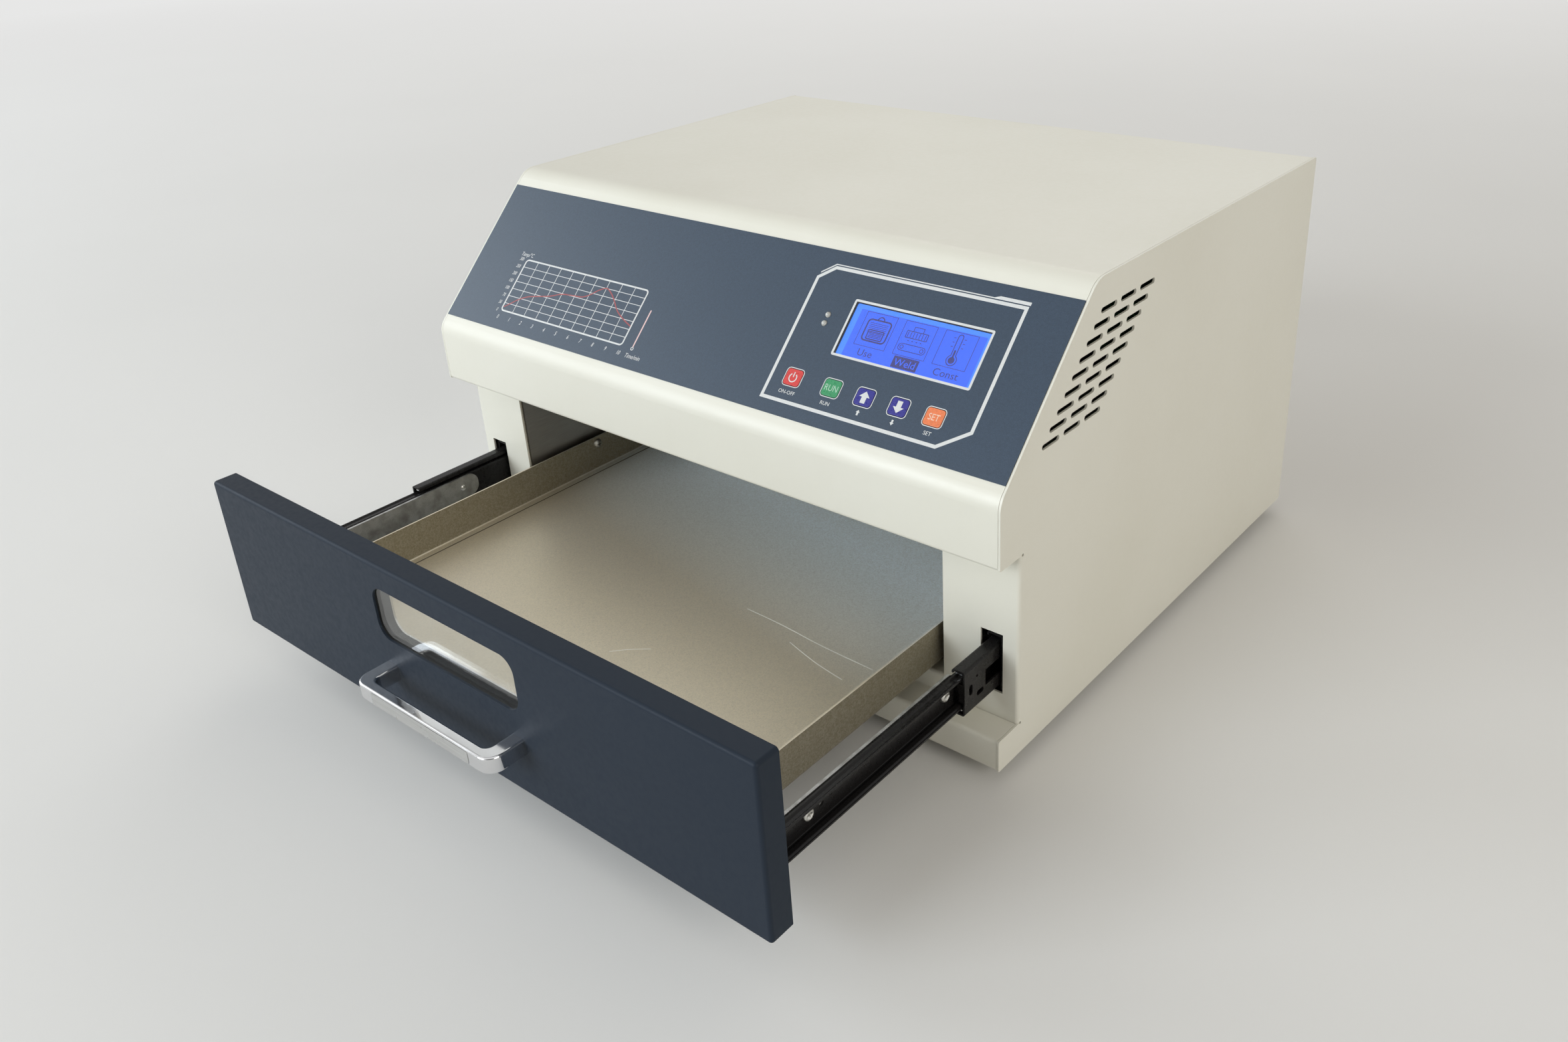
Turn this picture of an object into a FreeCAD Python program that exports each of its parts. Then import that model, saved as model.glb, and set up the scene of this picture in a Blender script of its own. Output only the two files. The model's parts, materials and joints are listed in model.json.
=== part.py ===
import FreeCAD, Part
import math
import os

# Bench reflow oven with a telescopic front drawer, a sloped control face and a heated chamber.
# Build frame in millimetres: X to the right, Y to the rear from the fascia, Z up from the base.
# The written part has its origin at the middle of the underside of its feet and open drawer.

Vec = FreeCAD.Vector

# Case sheets
CASE_W = 430.0
CASE_D = 358.0
CASE_H = 240.0
SHEET = 1.2
SEAM = 0.2
BEND_IN = 1.0
FLANGE = 12.0
RELIEF_R = 0.8

# Front of the case
SHELF_Z = 19.0
FASCIA_H = 36.5
RECESS = 18.0
SLOPE_DEG = 45.0
SLOPE_RISE = 84.5
BROW_R = 16.0
CHIN_R = 12.0
COLUMN_W = 46.0
SILL_H = 11.7
SILL_RETURN = 12.0
HEADER_DROP = 7.0
COLUMN_LAP = 6.0

# Vent slots of the side panels, stepping down beside the slope
VENT_ROWS = 9
VENT_COLUMNS = 3
VENT_L = 15.8
VENT_H = 3.0
VENT_PITCH = 19.9
VENT_STEP = 6.57
VENT_BACK = 11.7
VENT_DOWN = 17.7

# Feet
FOOT_H = 8.0
FOOT_R = 11.0
FOOT_TAPER = 1.5
FOOT_INSET = 30.0
FOOT_POCKET_R = 4.6
FOOT_POCKET_H = 5.0

# Screws
SCREW_R = 2.0
SCREW_HEAD_R = 3.8
SCREW_HEAD_H = 2.4
SCREW_END = 3.0
HOLE_PLAY = 0.15
REAR_SCREW_INSET = 65.0
REAR_SCREW_Z = 70.0

# Control face, measured across and up the slope
FILM = 0.4
FILM_START = 9.0
FILM_END = 12.5
LCD_INSET = 84.1
LCD_UP = 56.4
LCD_W = 85.4
LCD_H = 31.5
LCD_RIM = 0.6
LCD_FRAME_EDGE = 5.0
LCD_FRAME_T = 6.8
LCD_SINK = 0.6
LCD_GLASS_T = 1.6
LED_INSET = 140.4
LED_UP = (55.6, 60.7)
LED_R = 1.7
KEY_RUN_INSET = 117.3
KEY_PITCH = 21.6
KEY_POWER_GAP = 26.1
KEY_UP = 22.3
KEY_W = 10.5
KEY_H = 9.2
KEY_R = 1.6
KEY_PLAY = 0.25
KEY_PROUD = 0.3
KEY_TRAVEL = 0.4
KEY_FLANGE = 1.5
KEY_FLANGE_T = 1.1
KEY_STEM_R = 2.0
KEY_STEM_L = 2.8
BOARD_DEPTH = 11.0
BOARD_T = 1.6
BOARD_W = 142.0
BOARD_INSET = 23.0
BOARD_MARGIN = 6.0
SWITCH_W = 6.0
SWITCH_H = 3.5
SWITCH_TIP_R = 1.7
CHIP = 16.0
PLUG_H = 3.5
STANDOFF_R = 2.5
STANDOFF_INSET = 6.0

# Heated chamber
LINER_T = 0.8
LINER_FLOOR_DROP = 1.5
LINER_TOP_DROP = 2.0
LINER_REAR_GAP = 28.0
WOOL_SIDE = 12.0
WOOL_TOP = 17.0
WOOL_REAR = 12.0
TUBE_COUNT = 4
TUBE_R = 5.0
TUBE_DROP = 13.0
TUBE_MARGIN = 49.6
TUBE_PLAY = 0.15
CAP_R = 7.5
CAP_L = 14.0
CAP_SOCKET = 8.0
REFLECTOR_T = 0.6
REFLECTOR_GAP = 3.0
REFLECTOR_INSET = 8.0
PROBE_R = 1.5
PROBE_X = 60.0
PROBE_DROP = 42.0
PROBE_REACH = 30.0
GLAND_R = 4.0
GLAND_T = 3.0

# Electrical bay above the chamber
SHIELD_SETBACK = 3.6
SHIELD_LIP = 10.0
POWER_BOARD_W = 120.0
POWER_BOARD_D = 110.0
POWER_BOARD_INSET = 35.0
POWER_BOARD_REAR = 33.0
POWER_BOARD_LIFT = 8.0
POWER_RELAYS = 3
POWER_RELAY = 18.0
POWER_RELAY_PITCH = 25.0
CAPACITOR_R = 6.0
CAPACITOR_H = 23.0
FIN_COUNT = 5
FIN_T = 1.2
FIN_PITCH = 6.0
FIN_L = 30.0
FIN_H = 25.0
CONNECTOR_D = 6.0
CONNECTOR_H = 12.0
TRANSFORMER_INSET = 105.0
TRANSFORMER_REAR = 108.0
TRANSFORMER_SIZE = (52.0, 22.0, 42.0)
TRANSFORMER_EAR = 9.0
BOBBIN_W = 32.0
BOBBIN_D = 44.0
BOBBIN_R = 5.0
BOBBIN_MARGIN = 8.5
RELAY_INSET = 105.0
RELAY_REAR = 198.0
RELAY_SIZE = (58.0, 45.0, 23.0)
RELAY_EDGE_R = 2.0
TERMINAL_R = 5.0
TERMINAL_INSET = 7.5
TERMINAL_DEPTH = 7.0
LOOM_START = 20.0
LOOM_WIRES = 3
LOOM_R = 1.5
LOOM_PITCH = 5.0
LOOM_UP = 44.0

# Rear fan and mains inlet
FAN_SIZE = 80.0
FAN_T = 25.0
FAN_BORE_R = 38.0
FAN_HOLE_PITCH = 71.5
FAN_X = 0.0
FAN_DROP = 55.0
FAN_HUB_R = 15.5
FAN_BLADES = 7
FAN_BLADE_T = 1.2
FAN_BLADE_LEAN = (6.0, 9.0)
FAN_TIP_GAP = 1.2
FAN_SHAFT_R = 1.5
FAN_SHAFT_PLAY = 0.05
FAN_PLATE_T = 3.0
FAN_STRUTS = 4
GUARD_WIRE_R = 1.0
GUARD_RINGS = 4
GUARD_LIFT = 3.0
EYE_R = 4.2
INLET_INSET = 65.0
INLET_DROP = 50.0
INLET_W = 27.0
INLET_H = 20.0
INLET_DEPTH = 26.0
INLET_WALL = 1.6
INLET_CHAMFER = 2.4
INLET_LIP = 4.0
INLET_LIP_T = 2.0
PIN_W = 2.0
PIN_H = 4.0
PIN_L = 13.0
PIN_PITCH = 7.0
FUSE_H = 9.0

# Telescopic slides, right side, the left side is its mirror image
SLIDE_INSET = 20.9
SLIDE_UP = 31.3
SLIDE_T = 10.0
SLIDE_SPARE = 58.0
OUTER_H = 35.0
RAIL_SHEET = 1.0
RAIL_BEND_IN = 0.6
RAIL_LIP = 2.4
RAIL_HOLE = 3.0
RAIL_HOLE_STEP = 5.5
BALL_R = 1.5
BALL_PLAY = 0.1
WEB_GAP = 0.4
CAGE_T = 0.8
CAGE_L = 90.0
CAGE_BALLS = 4
MID_WINDOW_START = 18.5
MID_WINDOW_L = 60.0
MID_WINDOW_H = 9.5
MID_STOP = 2.6
BRACKET_T = 1.5
BRACKET_FOOT = 16.0
BRACKET_SETBACK = 24.8
BRACKET_SPARE = 35.0
HOLE_BELOW = 15.9
HOLE_ABOVE = 19.8
HOLE_INNER = 0.45
HOLE_OUTER = 1.4
ARM_T = 1.5
ARM_H = 15.0
ARM_L = 145.0
ARM_TURN = 18.0
ARM_RISE = 1.5
RAIL_SCREW_Y = (29.5, 133.0)
RAIL_SCREW_HEAD_R = 3.4

# Drawer, given at the photographed opening
DRAWER_OPEN = 170.3
CLOSE_GAP = 0.3
MID_OPEN_RIGHT = 32.2
MID_OPEN_LEFT = 70.0
DOOR_INSET = 4.0
DOOR_TOP_GAP = 4.2
DOOR_T = 13.5
DOOR_GAP = 0.6
DOOR_SHEET = 1.2
DOOR_R = 2.0
BACK_T = 1.0
WINDOW_W = 114.0
WINDOW_H = 31.2
WINDOW_R = 9.0
WINDOW_DROP = 14.1
WINDOW_FLARE = 3.0
GLASS_T = 3.0
GLASS_LAP = 5.0
FRAME_EDGE = 7.0
HANDLE_PITCH = 103.0
HANDLE_DROP = 19.4
HANDLE_H = 9.5
HANDLE_T = 6.0
HANDLE_LEG = 9.0
HANDLE_REACH = 21.0
HANDLE_R = 8.0
HANDLE_EDGE = 1.2
INLAY_L = 80.0
INLAY_H = 7.4
INLAY_SINK = 0.5
INLAY_PROUD = 0.2
TRAY_GAP = 4.2
TRAY_SPARE = 58.0
TRAY_T = 1.0
TRAY_LIFT = 7.8
TRAY_WALL = 23.3
TRAY_NOSE = 4.0
TRAY_EAR = 16.0
EAR_SCREW_DROP = 8.0

# Derived places in the case
HALF_W = CASE_W / 2
HALF_MOUTH = HALF_W - COLUMN_W
PANEL_IN = HALF_W - SHEET
COVER_HALF = PANEL_IN - SEAM
SLOPE = math.radians(SLOPE_DEG)
SLOPE_FOOT_Z = CASE_H - SLOPE_RISE
SLOPE_TOP_Y = SLOPE_RISE / math.tan(SLOPE)
FASCIA_Z = SLOPE_FOOT_Z - FASCIA_H
SILL_Z = SHELF_Z + SILL_H
REAR_FACE = CASE_D - SHEET - SEAM
REAR_IN = REAR_FACE - SHEET
HOLE_R = SCREW_R + HOLE_PLAY

# Derived places on the control face
FILM_L = SLOPE_RISE / math.sin(SLOPE) - FILM_START - FILM_END
LCD_X = HALF_W - LCD_INSET
LED_X = HALF_W - LED_INSET
KEY_RUN_X = HALF_W - KEY_RUN_INSET
BOARD_X = (HALF_W - BOARD_INSET - BOARD_W, HALF_W - BOARD_INSET)
BOARD_UP = (BOARD_MARGIN, FILM_L - BOARD_MARGIN)

# Derived places in the chamber
LINER_FRONT_Y = RECESS + SHEET + BEND_IN + SEAM
LINER_REAR_Y = CASE_D - LINER_REAR_GAP
LINER_FLOOR_Z = SILL_Z - LINER_FLOOR_DROP
LINER_TOP_Z = FASCIA_Z - LINER_TOP_DROP
LINER_HALF = HALF_MOUTH + LINER_T
LINER_UNDER_Z = LINER_FLOOR_Z - LINER_T
LINER_OVER_Z = LINER_TOP_Z + LINER_T
WOOL_HALF = LINER_HALF + WOOL_SIDE
SHIELD_Z = LINER_OVER_Z + WOOL_TOP + SEAM
SHIELD_FRONT_Y = LINER_FRONT_Y + SHIELD_SETBACK
TUBE_Z = LINER_TOP_Z - TUBE_DROP
TUBE_PITCH = (LINER_REAR_Y - LINER_FRONT_Y - 2 * TUBE_MARGIN) / (TUBE_COUNT - 1)
TUBE_Y = [LINER_FRONT_Y + TUBE_MARGIN + TUBE_PITCH * i for i in range(TUBE_COUNT)]
CAP_X = WOOL_HALF + SEAM
BRACKET_X = CAP_X + CAP_L / 3
PROBE_Z = LINER_TOP_Z - PROBE_DROP

# Derived places in the electrical bay and on the rear
POWER_BOARD_X = (HALF_W - POWER_BOARD_INSET - POWER_BOARD_W, HALF_W - POWER_BOARD_INSET)
POWER_BOARD_Y = (CASE_D - POWER_BOARD_REAR - POWER_BOARD_D, CASE_D - POWER_BOARD_REAR)
LOOM_X = POWER_BOARD_X[0] + LOOM_START
FAN_Z = CASE_H - FAN_DROP
FAN_SHAFT_END_Y = REAR_IN - FAN_PLATE_T
INLET_X = HALF_W - INLET_INSET
INLET_Z = CASE_H - INLET_DROP

# Derived places in the slides
SLIDE_X = HALF_W - SLIDE_INSET
SLIDE_Z = SHELF_Z + SLIDE_UP
SLIDE_L = CASE_D - SLIDE_SPARE
MID_HALF = OUTER_H / 2 - RAIL_SHEET - 2 * (BALL_R + BALL_PLAY)
INNER_HALF = MID_HALF - RAIL_SHEET - 2 * (BALL_R + BALL_PLAY)
OUTER_WEB_X = SLIDE_X + SLIDE_T
OUTER_TIP_X = SLIDE_X + RAIL_SHEET / 2
MID_WEB_X = OUTER_WEB_X - RAIL_SHEET - WEB_GAP
MID_TIP_X = OUTER_TIP_X + WEB_GAP
INNER_TIP_X = MID_WEB_X - RAIL_SHEET - 2 * WEB_GAP
RAIL_FRONT_Y = RECESS + SHEET + 5 * SEAM
BRACKET_FRONT = RAIL_FRONT_Y + BRACKET_SETBACK
BRACKET_L = SLIDE_L - BRACKET_SPARE

# Derived places in the drawer
DRAWER_Y = RECESS - CLOSE_GAP - DRAWER_OPEN
DOOR_Y = DRAWER_Y - DOOR_T
DOOR_Z = SHELF_Z + DOOR_GAP
DOOR_W = CASE_W - 2 * DOOR_INSET
DOOR_H = FASCIA_Z - DOOR_TOP_GAP - DOOR_Z
DOOR_BACK_Y = DRAWER_Y - BACK_T
WINDOW_Z = DOOR_Z + DOOR_H - WINDOW_DROP - WINDOW_H / 2
HANDLE_Z = WINDOW_Z - WINDOW_H / 2 - HANDLE_DROP
ARM_Z = SLIDE_Z + ARM_RISE
TRAY_W = 2 * (HALF_MOUTH - TRAY_GAP)
TRAY_L = CASE_D - TRAY_SPARE
TRAY_FLOOR_Z = LINER_FLOOR_Z + TRAY_LIFT
TRAY_TOP_Z = TRAY_FLOOR_Z + TRAY_WALL
EAR_SCREW_Z = TRAY_TOP_Z - EAR_SCREW_DROP
RAIL_SCREWS = [DRAWER_Y + y for y in RAIL_SCREW_Y]

# The part's origin is the middle of its length
GUARD_Y = REAR_FACE + GUARD_LIFT
FRONT_END_Y = DOOR_Y - HANDLE_REACH - INLAY_PROUD
REAR_END_Y = REAR_FACE + GUARD_LIFT + GUARD_WIRE_R + SCREW_HEAD_H
MIDDLE_Y = (FRONT_END_Y + REAR_END_Y) / 2


# Helpers for outlines and bent sheet

def side_view(x):
    return lambda y, z: Vec(x, y, z)


def plan_view(z):
    return lambda x, y: Vec(x, y, z)


def front_view(y):
    return lambda x, z: Vec(x, y, z)


def direction(start, end):
    length = math.hypot(end[0] - start[0], end[1] - start[1])
    return ((end[0] - start[0]) / length, (end[1] - start[1]) / length)


def corner_arc(before, corner, after, radius):
    """Start, middle and end of the tangent arc that rounds a corner."""
    a = direction(corner, before)
    b = direction(corner, after)
    half = 0.5 * math.acos(max(-1.0, min(1.0, a[0] * b[0] + a[1] * b[1])))
    reach = radius / math.tan(half)
    inward = direction((0, 0), (a[0] + b[0], a[1] + b[1]))
    sink = radius / math.sin(half) - radius
    start = (corner[0] + a[0] * reach, corner[1] + a[1] * reach)
    middle = (corner[0] + inward[0] * sink, corner[1] + inward[1] * sink)
    end = (corner[0] + b[0] * reach, corner[1] + b[1] * reach)
    return start, middle, end


def line_edge(start, end, place):
    return Part.LineSegment(place(*start), place(*end)).toShape()


def arc_edge(points, place):
    return Part.Arc(*[place(*p) for p in points]).toShape()


def path_edges(points, radii, place):
    """Edges of an open path, with one radius for each inner corner."""
    edges = []
    here = points[0]
    for i, radius in enumerate(radii):
        arc = corner_arc(points[i], points[i + 1], points[i + 2], radius)
        edges.append(line_edge(here, arc[0], place))
        edges.append(arc_edge(arc, place))
        here = arc[2]
    edges.append(line_edge(here, points[-1], place))
    return edges


def outline(points, radii, place):
    """Face inside a closed outline, with one radius for each corner and 0 for a sharp one."""
    count = len(points)
    stops = []
    for i, radius in enumerate(radii):
        if radius:
            stops.append(corner_arc(points[i - 1], points[i], points[(i + 1) % count], radius))
        else:
            stops.append((points[i],))
    edges = []
    for i, stop in enumerate(stops):
        if len(stop) == 3:
            edges.append(arc_edge(stop, place))
        edges.append(line_edge(stop[-1], stops[(i + 1) % count][0], place))
    return Part.Face(Part.Wire(edges))


def offset_path(points, distance):
    """The same open path moved to its left by a distance."""
    lines = [direction(points[i], points[i + 1]) for i in range(len(points) - 1)]
    normals = [(-d[1], d[0]) for d in lines]
    moved = []
    for i, point in enumerate(points):
        a = normals[max(i - 1, 0)]
        b = normals[min(i, len(normals) - 1)]
        scale = distance / (1 + a[0] * b[0] + a[1] * b[1])
        moved.append((point[0] + (a[0] + b[0]) * scale, point[1] + (a[1] + b[1]) * scale))
    return moved


def bent_sheet(points, bend_radii, thickness, place, sweep):
    """Sheet beside a path, left of it or right if negative, with the radius inside each bend."""
    near = []
    far = []
    for i, radius in enumerate(bend_radii):
        a = direction(points[i], points[i + 1])
        b = direction(points[i + 1], points[i + 2])
        left_turn = a[0] * b[1] - a[1] * b[0] > 0
        outside = radius + abs(thickness)
        turns_to_sheet = left_turn == (thickness > 0)
        near.append(outside if turns_to_sheet else radius)
        far.append(radius if turns_to_sheet else outside)
    back = offset_path(points, thickness)[::-1]
    edges = path_edges(points, near, place)
    edges.append(line_edge(points[-1], back[0], place))
    edges += path_edges(back, far[::-1], place)
    edges.append(line_edge(back[-1], points[0], place))
    return Part.Face(Part.Wire(edges)).extrude(sweep)


def block(x, y, z):
    """Box between pairs of limits."""
    return Part.makeBox(x[1] - x[0], y[1] - y[0], z[1] - z[0], Vec(x[0], y[0], z[0]))


def rod(radius, start, along):
    return Part.makeCylinder(radius, along.Length, start, along)


def rounded_block(width, height, radius, low, high):
    """Rounded rectangle about the origin of X and Y, between two heights."""
    a = width / 2
    b = height / 2
    corners = [(-a, -b), (a, -b), (a, b), (-a, b)]
    return outline(corners, [radius] * 4, plan_view(low)).extrude(Vec(0, 0, high - low))


def moved(shape, x, y, z):
    copy = shape.copy()
    copy.translate(Vec(x, y, z))
    return copy


def aimed(shape, point, along):
    """A copy whose own Z axis points along a direction from a point."""
    copy = shape.copy()
    copy.Placement = FreeCAD.Placement(point, FreeCAD.Rotation(Vec(0, 0, 1), along))
    return copy


def mirrored(shape):
    return shape.mirror(Vec(0, 0, 0), Vec(1, 0, 0))


def fused(shapes):
    return shapes[0].multiFuse(shapes[1:]).removeSplitter()


def screw(point, outward, grip, head_r=SCREW_HEAD_R):
    """Pan-head screw whose head seats at a point and whose shank runs inwards."""
    head = Part.makeCylinder(head_r, SCREW_HEAD_H)
    rim = [e for e in head.Edges if e.BoundBox.ZMin > SCREW_HEAD_H / 2]
    head = head.makeFillet(SCREW_HEAD_H * 0.6, rim)
    shank = rod(SCREW_R, Vec(0, 0, -grip), Vec(0, 0, grip))
    return aimed(head.fuse(shank).removeSplitter(), point, outward)


# The slope's own frame: X across, Y up the slope from the film's lower edge, Z out of the steel

SLOPE_FRAME = FreeCAD.Placement(
    Vec(0, FILM_START * math.cos(SLOPE), SLOPE_FOOT_Z + FILM_START * math.sin(SLOPE)),
    FreeCAD.Rotation(Vec(1, 0, 0), SLOPE_DEG))


def on_slope(shape):
    copy = shape.copy()
    copy.Placement = SLOPE_FRAME.multiply(copy.Placement)
    return copy


def key_places():
    """Name and place across the slope of each key."""
    places = [("key_power", KEY_RUN_X - KEY_POWER_GAP)]
    for i, name in enumerate(("key_run", "key_up", "key_down", "key_set")):
        places.append((name, KEY_RUN_X + KEY_PITCH * i))
    return places


def control_holes(low, high):
    """Cutters for the display, the lamps and the keys, in the slope's frame."""
    cutters = [moved(rounded_block(LCD_W, LCD_H, KEY_R / 2, low, high), LCD_X, LCD_UP, 0)]
    for up in LED_UP:
        cutters.append(rod(LED_R + HOLE_PLAY, Vec(LED_X, up, low), Vec(0, 0, high - low)))
    key_hole = rounded_block(KEY_W + 2 * KEY_PLAY, KEY_H + 2 * KEY_PLAY, KEY_R + KEY_PLAY, low, high)
    for name, x in key_places():
        cutters.append(moved(key_hole, x, KEY_UP, 0))
    return Part.makeCompound(cutters)


# Case sheets

COVER_LINE = [(CASE_D, CASE_H), (SLOPE_TOP_Y, CASE_H), (0, SLOPE_FOOT_Z), (0, FASCIA_Z)]


def rear_screw_points():
    """Screws through the rear flanges of the base and the cover."""
    heights = (FLANGE / 2, CASE_H - FLANGE / 2)
    side = HALF_W - REAR_SCREW_INSET
    return [Vec(x, CASE_D, z) for x in (-side, 0, side) for z in heights]


def side_flange_points():
    """Screws through the rear panel into the side panels."""
    x = PANEL_IN - FLANGE / 2
    heights = (REAR_SCREW_Z, CASE_H - REAR_SCREW_Z)
    return [Vec(side * x, REAR_FACE, z) for side in (-1, 1) for z in heights]


def rear_holes(points):
    depth = CASE_D - REAR_IN + FLANGE
    return [rod(HOLE_R, p - Vec(0, depth / 2, 0), Vec(0, depth, 0)) for p in points]


def foot_points():
    x = HALF_W - FOOT_INSET
    return [Vec(sx * x, y, 0) for sx in (-1, 1) for y in (FOOT_INSET, CASE_D - FOOT_INSET)]


def base_pan():
    lower = [(CASE_D, FLANGE), (CASE_D, 0), (0, 0), (0, SHELF_Z)]
    shelf = lower + [(RECESS - SEAM, SHELF_Z)]
    sill = lower + [(RECESS, SHELF_Z), (RECESS, SILL_Z), (RECESS + SILL_RETURN, SILL_Z)]
    half = HALF_MOUTH - SEAM
    sheets = [
        bent_sheet(shelf, [BEND_IN] * 3, -SHEET, side_view(-COVER_HALF), Vec(2 * COVER_HALF, 0, 0)),
        bent_sheet(sill, [BEND_IN] * 5, -SHEET, side_view(-half), Vec(2 * half, 0, 0)),
    ]
    holes = [rod(HOLE_R, p, Vec(0, 0, 2 * SHEET)) for p in foot_points()]
    return fused(sheets).cut(holes + rear_holes(rear_screw_points()))


def top_cover():
    line = [(CASE_D, CASE_H - FLANGE)] + COVER_LINE
    radii = [BEND_IN, BROW_R - SHEET, CHIN_R - SHEET, BEND_IN]
    soffit = line + [(RECESS - SEAM, FASCIA_Z)]
    header = line + [(RECESS, FASCIA_Z), (RECESS, FASCIA_Z - HEADER_DROP)]
    half = HALF_MOUTH - SEAM
    sheets = [
        bent_sheet(soffit, radii, SHEET, side_view(-COVER_HALF), Vec(2 * COVER_HALF, 0, 0)),
        bent_sheet(header, radii + [BEND_IN], SHEET, side_view(-half), Vec(2 * half, 0, 0)),
    ]
    cutters = rear_holes(rear_screw_points())
    cutters.append(on_slope(control_holes(-2 * SHEET, SHEET)))
    return fused(sheets).cut(cutters)


def vent_slots():
    """Rows of slots through the right side panel, parallel to the base."""
    slot = rounded_block(VENT_L, VENT_H, VENT_H * 0.49, -SHEET, 2 * SHEET)
    turned = slot.copy()
    turned.Placement = FreeCAD.Placement(Vec(PANEL_IN, 0, 0), FreeCAD.Rotation(Vec(1, 1, 1), 120))
    forward = VENT_STEP / math.tan(SLOPE)
    slots = []
    for row in range(VENT_ROWS):
        for column in range(VENT_COLUMNS):
            y = SLOPE_TOP_Y + VENT_BACK + VENT_PITCH * column - forward * row
            slots.append(moved(turned, 0, y, CASE_H - VENT_DOWN - VENT_STEP * row))
    return slots


def side_panel():
    """Right side panel with its folded column, its flanges under the cover and its vents."""
    notch = RECESS + SHEET + BEND_IN
    corners = [(0, 0), (CASE_D, 0), (CASE_D, CASE_H), (SLOPE_TOP_Y, CASE_H), (0, SLOPE_FOOT_Z),
               (0, FASCIA_Z), (notch, FASCIA_Z), (notch, SHELF_Z), (0, SHELF_Z)]
    radii = [BEND_IN, BEND_IN, BEND_IN, BROW_R, CHIN_R, BEND_IN, 0, 0, BEND_IN]
    sheet = outline(corners, radii, side_view(PANEL_IN)).extrude(Vec(SHEET, 0, 0))

    column_line = [(HALF_W, notch + SHEET), (HALF_W, RECESS), (HALF_MOUTH, RECESS)]
    column_z = SHELF_Z - COLUMN_LAP
    column_h = FASCIA_Z - SHELF_Z + 2 * COLUMN_LAP
    column = bent_sheet(column_line, [BEND_IN], -SHEET, plan_view(column_z), Vec(0, 0, column_h))

    under = SHEET + SEAM
    carrier_line = offset_path(COVER_LINE, under)
    carrier_line[0] = (REAR_IN - under - SHEET, CASE_H - under)
    carrier_line[-1] = (under, FASCIA_Z + under + COLUMN_LAP)
    carrier_radii = [BROW_R - under - SHEET, CHIN_R - under - SHEET]
    reach = Vec(FLANGE + SHEET / 2, 0, 0)
    carrier = bent_sheet(carrier_line, carrier_radii, SHEET, side_view(PANEL_IN - FLANGE), reach)

    inner = (PANEL_IN - FLANGE, HALF_W - SHEET / 2)
    rear = block(inner, (REAR_IN - under, REAR_IN - SEAM), (FLANGE * 2, CASE_H - FLANGE * 2))
    foot_inner = (PANEL_IN - FLANGE / 2, HALF_W - SHEET / 2)
    foot = block(foot_inner, (RECESS + FLANGE, REAR_IN - under - SHEET), (under, under + SHEET))

    hole = block((SLIDE_X - ARM_T - HOLE_INNER, SLIDE_X + SLIDE_T + HOLE_OUTER),
                 (RECESS - SHEET, RECESS + 2 * SHEET), (SLIDE_Z - HOLE_BELOW, SLIDE_Z + HOLE_ABOVE))
    cutters = vent_slots() + [hole] + rear_holes(side_flange_points())
    for z in (SHELF_Z, FASCIA_Z):
        cutters.append(rod(RELIEF_R, Vec(PANEL_IN - SHEET / 2, notch, z), Vec(2 * SHEET, 0, 0)))
    return fused([sheet, column, carrier, rear, foot]).cut(cutters)


def rear_panel():
    margin = SHEET + BEND_IN + SEAM
    plate = block((-COVER_HALF, COVER_HALF), (REAR_IN, REAR_FACE), (margin, CASE_H - margin))
    through = Vec(0, 3 * SHEET, 0)
    start_y = REAR_IN - SHEET
    cutters = rear_holes(rear_screw_points() + side_flange_points())
    cutters.append(rod(FAN_BORE_R, Vec(FAN_X, start_y, FAN_Z), through))
    for x, z in fan_corners():
        cutters.append(rod(HOLE_R, Vec(x, start_y, z), through))
    half_w = INLET_W / 2 + HOLE_PLAY
    half_h = INLET_H / 2 + HOLE_PLAY
    cutters.append(block((INLET_X - half_w, INLET_X + half_w), (start_y, start_y + 3 * SHEET),
                         (INLET_Z - half_h, INLET_Z + half_h)))
    return plate.cut(cutters)


def case_screws():
    grip = CASE_D - REAR_IN + SEAM + SHEET + SCREW_END
    screws = [screw(p, Vec(0, 1, 0), grip) for p in rear_screw_points()]
    return screws + [screw(p, Vec(0, 1, 0), grip - SHEET) for p in side_flange_points()]


def rubber_feet():
    foot = Part.makeCone(FOOT_R - FOOT_TAPER, FOOT_R, FOOT_H, Vec(0, 0, -FOOT_H))
    foot = foot.cut(rod(FOOT_POCKET_R, Vec(0, 0, -FOOT_H), Vec(0, 0, FOOT_POCKET_H)))
    foot = foot.cut(rod(HOLE_R, Vec(0, 0, -FOOT_H), Vec(0, 0, 2 * FOOT_H)))
    return [moved(foot, p.x, p.y, 0) for p in foot_points()]


def foot_screws():
    seat = FOOT_POCKET_H - FOOT_H
    return [screw(p + Vec(0, 0, seat), Vec(0, 0, -1), SHEET + SCREW_END - seat) for p in foot_points()]


# Control face

def control_overlay():
    film = block((-COVER_HALF, COVER_HALF), (0, FILM_L), (0, FILM))
    return on_slope(film.cut(control_holes(-FILM, 2 * FILM)))


def lcd_window():
    width = LCD_W - 2 * HOLE_PLAY
    height = LCD_H - 2 * HOLE_PLAY
    return on_slope(moved(rounded_block(width, height, KEY_R / 2, -SHEET, FILM), LCD_X, LCD_UP, 0))


def lcd_frame():
    back = -SHEET - LCD_FRAME_T
    edge = 2 * LCD_FRAME_EDGE
    frame = rounded_block(LCD_W + edge, LCD_H + edge, KEY_R, back, -SHEET)
    pocket_floor = -SHEET - LCD_SINK - LCD_GLASS_T
    pocket = rounded_block(LCD_W - 2 * LCD_RIM, LCD_H - 2 * LCD_RIM, KEY_R / 2, pocket_floor, 0)
    return on_slope(moved(frame.cut(pocket), LCD_X, LCD_UP, 0))


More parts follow.
